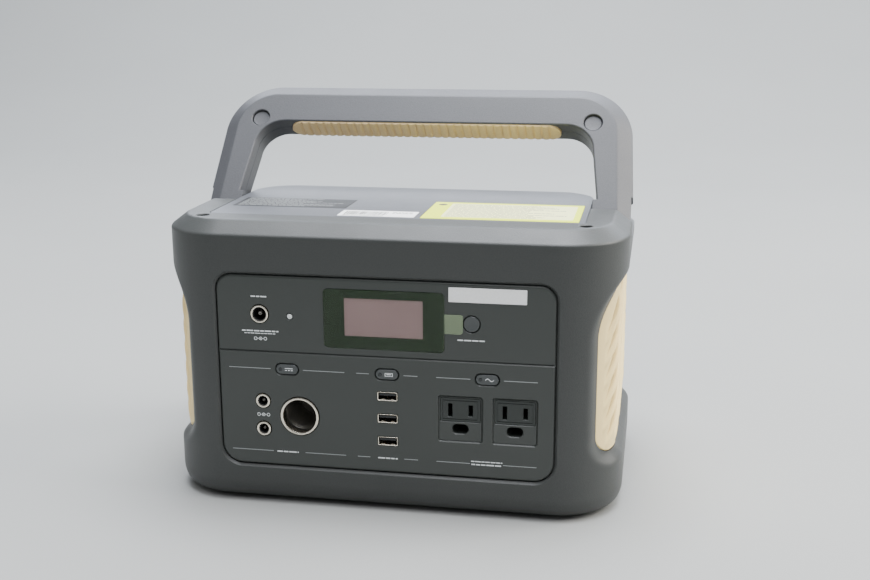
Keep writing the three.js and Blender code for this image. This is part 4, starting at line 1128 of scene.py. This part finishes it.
def make_outlet(name):
    low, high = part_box(name)
    x = (low.x + high.x) / 2
    front = low.y
    body = front_plate(name + "_body", name, 1.4 * MM, 0.15 * MM)
    seat = box_at(x - STEP_HALF, x + STEP_HALF, *STEP_Z, 1.3 * MM)
    ground = box_at(x - 5 * MM, x + 5 * MM, GROUND_Z - 3 * MM, GROUND_Z + 3 * MM, 2.95 * MM, 16)
    holes = [flared_cutter(seat, front, front + 18 * MM, 0.3 * MM)]
    holes.append(flared_cutter(ground, front, front + 17 * MM, 0.5 * MM))
    combine(body, holes, sharp_degrees=30)
    finish_piece(body, "fascia", name)
    face = front + 0.35 * MM
    inside = lambda grow: seat(grow - 0.15 * MM)
    insert = cushion(name + "_insert", inside, face, front + 17.9 * MM, "y", 0.3 * MM)
    groove_out = box_at(x - STEP_HALF + 1.5 * MM, x + STEP_HALF - 1.5 * MM, STEP_Z[0] + 1.5 * MM,
                        STEP_Z[1] - 1.5 * MM, 0.8 * MM)
    groove = cushion("groove", groove_out, front - MM, front + 0.8 * MM, "y")
    island = cushion("island", lambda grow: groove_out(grow - 0.5 * MM), front - 2 * MM, front + 2 * MM, "y")
    combine(groove, [island])
    cutters = [groove]
    for offset, half in BLADES.items():
        u = x + offset * MM
        blade = box_at(u - 1.3 * MM, u + 1.3 * MM, BLADE_Z - half * MM, BLADE_Z + half * MM, 0.15 * MM, 2)
        cutters.append(flared_cutter(blade, face, front + 16 * MM, 0.3 * MM))
    combine(insert, cutters, sharp_degrees=30)
    finish_piece(insert, "outlet")


# ---- deck, labels, feet and screws


def make_deck():
    outline_at = lambda grow: deck_outline(grow, grow)
    deck = cushion("deck_plate", outline_at, DECK_LOW.z, DECK_HIGH.z, "z", 0, 0.5 * MM)
    cutters = []
    for name in ("rating_label", "stock_label", "notice_label"):
        low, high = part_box(name)
        outline = box_at(low.x, high.x, low.y, high.y, 0.9 * MM)(0.3 * MM)
        cutters.append(prism(outline, CASE_TOP - 0.35 * MM, CASE_TOP + 2 * MM, "z"))
    combine(deck, cutters, sharp_degrees=30)
    finish_piece(deck, "deck", "top_plate")


def label_base(node, piece, material, radius=0.9 * MM):
    low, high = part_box(node)
    base = cushion(piece, box_at(low.x, high.x, low.y, high.y, radius), low.z, high.z, "z", 0, 0.06 * MM)
    finish_piece(base, material, node)
    return low, high


def print_on(piece, rectangles, top, material):
    marks = bars(piece, rectangles, top - 0.02 * MM, top + 0.03 * MM, "z")
    finish_piece(marks, material)


def make_rating_label():
    chance = random.Random(11)
    low, high = label_base("rating_label", "rating_plate", "dark_label")
    rows = []
    for i in range(9):
        y = high.y - (2.6 + 3.2 * i) * MM
        rows += dashes(low.x + 2.5 * MM, low.x + chance.uniform(40, 71) * MM, y, 0.8 * MM, chance, 5 * MM)
    print_on("rating_print", rows, high.z, "dim_ink")


def make_stock_label():
    chance = random.Random(5)
    low, high = label_base("stock_label", "stock_sticker", "white_label", 0.5 * MM)
    rows = []
    u = low.x + 3 * MM
    while u < low.x + 30 * MM:
        width = chance.choice((0.3, 0.6, 0.9)) * MM
        rows.append((u, u + width, low.y + 5 * MM, high.y - 3.4 * MM))
        u += width + chance.choice((0.4, 0.7)) * MM
    for y in (3.2, 1.7):
        rows += dashes(low.x + 3 * MM, low.x + 29 * MM, low.y + y * MM, 0.7 * MM, chance, 3.5 * MM)
    rows += dashes(low.x + 33 * MM, high.x - 3 * MM, high.y - 4.4 * MM, 1.0 * MM, chance, 4 * MM)
    rows += dashes(low.x + 33 * MM, high.x - 3 * MM, high.y - 7.4 * MM, 1.0 * MM, chance, 4 * MM)
    print_on("stock_print", rows, high.z, "dark_ink")


def make_notice_label():
    chance = random.Random(3)
    low, high = label_base("notice_label", "notice_sticker", "yellow_label", 1.2 * MM)
    panel_low, panel_high = low.x + 12 * MM, high.x - 4 * MM
    pale = cushion("notice_panel", box_at(panel_low, panel_high, low.y + 6 * MM, high.y - 5 * MM, 1 * MM),
                   high.z - 0.02 * MM, high.z + 0.03 * MM, "z")
    finish_piece(pale, "pale_label")
    rows = []
    for i in range(13):
        y = high.y - (8.4 + 3.5 * i) * MM
        if y > low.y + 8 * MM:
            row_end = panel_low + chance.uniform(52, 78) * MM
            rows += dashes(panel_low + 2 * MM, row_end, y, 0.8 * MM, chance, 6 * MM)
    print_on("notice_print", rows, high.z + 0.03 * MM, "dark_ink")
    spot = circle(low.x + 6.2 * MM, high.y - 9.5 * MM, 2.8 * MM)
    sign = prism(spot, high.z - 0.02 * MM, high.z + 0.04 * MM, "z", "notice_spot")
    finish_piece(sign, "dark_ink")


def make_foot(name):
    low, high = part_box(name)
    middle = (low + high) / 2
    radius = (high.x - low.x) / 2 / MM
    height = high.z / MM
    profile = [(0, 0.5), (2.4, 0.5), (2.8, 0), (4.6, 0), (5.0, 0.5), (6.0, 0.5), (6.4, 0), (radius - 1.2, 0),
               (radius - 0.35, 0.3), (radius, 1.2), (radius, height), (0, height)]
    foot = turned(name + "_pad", Vector((middle.x, middle.y, 0)), in_mm(profile), "z", 72)
    finish_piece(foot, "foot", name)


def make_screw(name, axis):
    """Pan-headed screw with a cross recess, its head towards +Z or +Y."""
    low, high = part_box(name)
    middle = (low + high) / 2
    along = 2 if axis == "z" else 1
    start, end = low[along], high[along]
    radius = (high.x - low.x) / 2
    height = end - start
    profile = [(0, start), (radius, start), (radius, start + height * 0.35)]
    for i in range(1, 7):
        crown = 0.35 + 0.62 * math.sin(i / 6 * math.pi / 2)
        profile.append((radius * (0.99 - 0.5 * (i / 6) ** 1.7), start + height * crown))
    profile += [(radius * 0.2, end), (0, end)]
    place = Vector((middle.x, middle.y, 0)) if axis == "z" else Vector((middle.x, 0, middle.z))
    head = turned(name + "_head", place, profile, axis, 64)
    u, v = (middle.x, middle.y) if axis == "z" else (middle.x, middle.z)
    bars_half, arm = 0.35 * MM, radius * 0.55
    cross = []
    for wide, tall in ((arm, bars_half), (bars_half, arm)):
        outline = [(u - wide, v - tall), (u + wide, v - tall), (u + wide, v + tall), (u - wide, v + tall)]
        cross.append(prism(outline, end - height * 0.6, end + MM, axis))
    combine(head, cross, sharp_degrees=30)
    finish_piece(head, "dark_screw", name)


# ---- handle
LEAN = math.radians(53)
FACE = 5.6 * MM
BACK = -14.1 * MM
SPLIT = -3 * MM
REACH = 95.1 * MM
BAR_INNER = 63 * MM
OUTER_RADIUS = 38 * MM
INNER_RADIUS = 19 * MM
HUB_RADIUS = 14.1 * MM
LEG_BASE = 146 * MM
LEG_TOP = 143.2 * MM
PLUG_PLACE = (116.5 * MM, 65.3 * MM)
PLUG_RADIUS = 6.3 * MM
GRIP_HALF = 95 * MM
RIBS = 35


def to_rest(obj):
    """From the handle's own frame (bar towards +Y, face up) to where it stands."""
    obj.data.transform(Matrix.Translation(PIVOT) @ Matrix.Rotation(LEAN, 4, "X"))
    return obj


def leg_inner(y):
    return (123.5 - 6 * y / BAR_INNER) * MM


def handle_outline(inset, steps=22):
    radius = OUTER_RADIUS - inset
    base, upper, top = LEG_BASE - inset, LEG_TOP - inset, REACH - inset
    right = [(base, -20 * MM), (base, 0)] + arc(upper - radius, top - radius, radius, 0, 90, steps)
    return [(-x, y) for x, y in reversed(right)] + right


def handle_blank():
    rise = CASE_TOP - SHOULDER
    slope = BEVEL_INSET / rise
    soft = 0.7 * MM
    chamfer = 3 * MM
    levels = [(chamfer + soft, BACK), (chamfer - soft * 0.3, BACK + soft * 0.3)]
    levels += [(soft * 0.3, BACK + chamfer - soft * 0.3), (0, BACK + chamfer + soft), (0, FACE - rise - soft)]
    levels += [(soft * 0.35, FACE - rise + soft * 0.4), (soft * slope, FACE - rise + soft)]
    levels += [(BEVEL_INSET - soft * slope, FACE - soft), (BEVEL_INSET - soft * 0.2, FACE - soft * 0.3)]
    levels.append((BEVEL_INSET + soft, FACE))
    rings = [[(x, y, z) for x, y in handle_outline(inset)] for inset, z in levels]
    return clean(loft("handle_blank", rings))


def handle_window():
    """The hand opening, its rim rolled over at the front and back."""
    def outline(grow):
        x_low, x_high = leg_inner(-30 * MM) - grow, leg_inner(BAR_INNER) - grow
        radius = INNER_RADIUS - grow
        top = BAR_INNER - grow
        right = [(x_low, -30 * MM)] + arc(x_high - radius, top - radius, radius, 0, 90, 16)
        return [(-x, y) for x, y in reversed(right)] + right
    roll = 1.3 * MM
    turns = [math.pi / 2 * i / 5 for i in range(6)]
    bend = [(roll * (math.sin(t) - 1), roll * (1 - math.cos(t))) for t in turns]
    levels = [(-roll - 2 * MM, FACE + 2 * MM)] + [(grow, FACE - drop) for grow, drop in bend]
    levels += [(grow, BACK + drop) for grow, drop in reversed(bend)] + [(-roll - 2 * MM, BACK - 2 * MM)]
    rings = [[(x, y, z) for x, y in outline(grow)] for grow, z in levels]
    return clean(loft("hand_window", rings))


def handle_side_view():
    start = 180 - math.degrees(math.asin(FACE / HUB_RADIUS))
    profile = [(120 * MM, FACE), (HUB_RADIUS * math.cos(math.radians(start)), FACE)]
    profile += arc(0, 0, HUB_RADIUS, start, 270, 30)[1:] + [(120 * MM, BACK)]
    return prism(profile[::-1], -0.2, 0.2, "x")


def handle_whole():
    whole = handle_blank()
    combine(whole, [handle_window()])
    combine(whole, [handle_side_view()], "INTERSECT")
    bosses = []
    for side in (-1, 1):
        boss = prism(circle(0, 0, 9 * MM, 48), *on_side(side, 119.6 * MM, 125.5 * MM), "x")
        bosses.append(combine(boss, [handle_side_view()], "INTERSECT"))
    combine(whole, bosses, "UNION")
    notches = []
    for side in (-1, 1):
        notches.append(block(*on_side(side, LEG_BASE - 1.8 * MM, 0.2), -0.03, 13 * MM, -0.05, 0.05))
    pin = prism(circle(0, 0, 2.8 * MM, 32), -138 * MM, 138 * MM, "x")
    grip_seat = prism(grip_outline(0.3 * MM), BAR_INNER - 0.01, BAR_INNER + 2.3 * MM, "y")
    return combine(whole, notches + [pin, grip_seat], sharp_degrees=30)


def grip_outline(grow):
    middle = (FACE + BACK) / 2
    u, v = GRIP_HALF + grow, 8.8 * MM + grow
    return rounded(-u, u, middle - v, middle + v, 8.7 * MM + grow, 16)


def make_handle_halves():
    front = handle_whole()
    front.name = "handle_front_shell"
    back = handle_whole()
    back.name = "handle_back_shell"
    combine(front, [block(-0.3, 0.3, -0.1, 0.2, -0.05, SPLIT)])
    combine(back, [block(-0.3, 0.3, -0.1, 0.2, SPLIT - 0.3 * MM, 0.05)])
    wells = []
    for side in (-1, 1):
        x, y = side * PLUG_PLACE[0], PLUG_PLACE[1]
        levels = [(1.5 * MM, FACE + MM), (0, FACE - 0.5 * MM), (0, FACE - 5.3 * MM)]
        rings = [[(u, v, w) for u, v in circle(x, y, PLUG_RADIUS + grow, 64)] for grow, w in levels]
        wells.append(clean(loft("well", rings)))
    combine(front, wells)
    for half, node in ((front, "handle_front"), (back, "handle_back")):
        half = bevelled(half, 0.3 * MM, 2, 50)
        to_rest(half)
        # The handle material is the case plastic painted lighter than the shell: painted light.
        finish_piece(half, "handle", node, body="handle")


def make_grip():
    """Soft insert under the bar, crowned and ribbed across."""
    middle = (FACE + BACK) / 2
    half = 8.8 * MM
    stations = spaced(-GRIP_HALF, GRIP_HALF, GRIP_HALF * 2 / (RIBS * 12))
    rings = []
    for x in stations:
        over = max(0, abs(x) - (GRIP_HALF - 8.7 * MM))
        reach = math.sqrt(max(0.0004 ** 2, (8.7 * MM) ** 2 - over ** 2)) + (half - 8.7 * MM)
        wave = 0.5 + 0.5 * math.cos(math.pi * x * RIBS / GRIP_HALF)
        fade = smooth((GRIP_HALF - 3 * MM - abs(x)) / (4 * MM))
        ring = []
        for i in range(25):
            t = math.pi * i / 24
            w = middle - reach * math.cos(t)
            crown = 2.0 * MM * math.sin(t) ** 0.45
            groove = 1.3 * MM * wave ** 4 * fade * math.sin(t) ** 0.5
            ring.append((x, BAR_INNER - crown + groove * 0.999, w))
        ring += [(x, BAR_INNER + 2 * MM, middle + reach), (x, BAR_INNER + 2 * MM, middle - reach)]
        rings.append(ring)
    grip = clean(loft("handle_grip_ribbed", rings), 60)
    to_rest(grip)
    finish_piece(grip, "grip", "handle_grip", body="handle")


def make_plug(side):
    name = "handle_plug_right" if side > 0 else "handle_plug_left"
    radius = PLUG_RADIUS - 0.3 * MM
    top = FACE - 1.6 * MM
    profile = [(0, FACE - 5 * MM), (radius, FACE - 5 * MM), (radius, top - 0.7 * MM),
               (radius - 0.2 * MM, top - 0.2 * MM), (radius - 0.7 * MM, top),
               (radius - 1.5 * MM, top - 0.12 * MM), (0, top - 0.2 * MM)]
    plug = turned(name + "_cap", Vector((side * PLUG_PLACE[0], PLUG_PLACE[1], 0)), profile, "z", 64)
    to_rest(plug)
    # The handle material is the case plastic painted lighter than the shell: painted light.
    finish_piece(plug, "handle", name, body="handle")


def make_pivot_pin(name):
    low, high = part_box(name)
    radius = (high.z - low.z) / 2
    place = Vector((0, (low.y + high.y) / 2, (low.z + high.z) / 2))
    edge = 0.4 * MM
    profile = [(0, low.x), (radius - edge, low.x), (radius, low.x + edge), (radius, high.x - edge),
               (radius - edge, high.x), (0, high.x)]
    pin = turned(name + "_rod", Vector((0, 0, 0)), profile, "x", 40)
    pin.data.transform(Matrix.Translation(place))
    clean(pin)
    finish_piece(pin, "steel", name)


# ---- inside
INSIDE = {
    "battery_tray": "black", "battery_pack": "cells", "battery_board": "board", "inverter_board": "board",
    "control_board": "board", "transformer": "copper", "heat_sink": "aluminium", "battery_lead": "black",
    "fan_frame": "black", "fan_rotor": "black", "display_module": "black",
}


def dress_inside():
    for node, material in INSIDE.items():
        NODES[node].data.materials.clear()
        NODES[node].data.materials.append(MATERIALS[material])


# ---- build
make_world()
make_camera()
make_stage()
make_lights()
make_front_shell()
make_rear_shell()
make_side_panel(1)
make_side_panel(-1)
make_front_panel()
make_front_print()
make_display()
make_name_plate()
make_buttons()
make_charge_light()
for jack, bore in JACKS.items():
    make_jack(jack, bore)
make_car_socket()
for port in USB_NAMES:
    make_usb_port(port)
for outlet in OUTLET_NAMES:
    make_outlet(outlet)
make_deck()
make_rating_label()
make_stock_label()
make_notice_label()
for foot, _ in foot_places():
    make_foot(foot)
make_screw("top_screw_left", "z")
make_screw("top_screw_right", "z")
for screw in REAR_SCREWS:
    make_screw(screw, "y")
make_handle_halves()
make_grip()
make_plug(1)
make_plug(-1)
make_pivot_pin("pivot_pin_left")
make_pivot_pin("pivot_pin_right")
dress_inside()
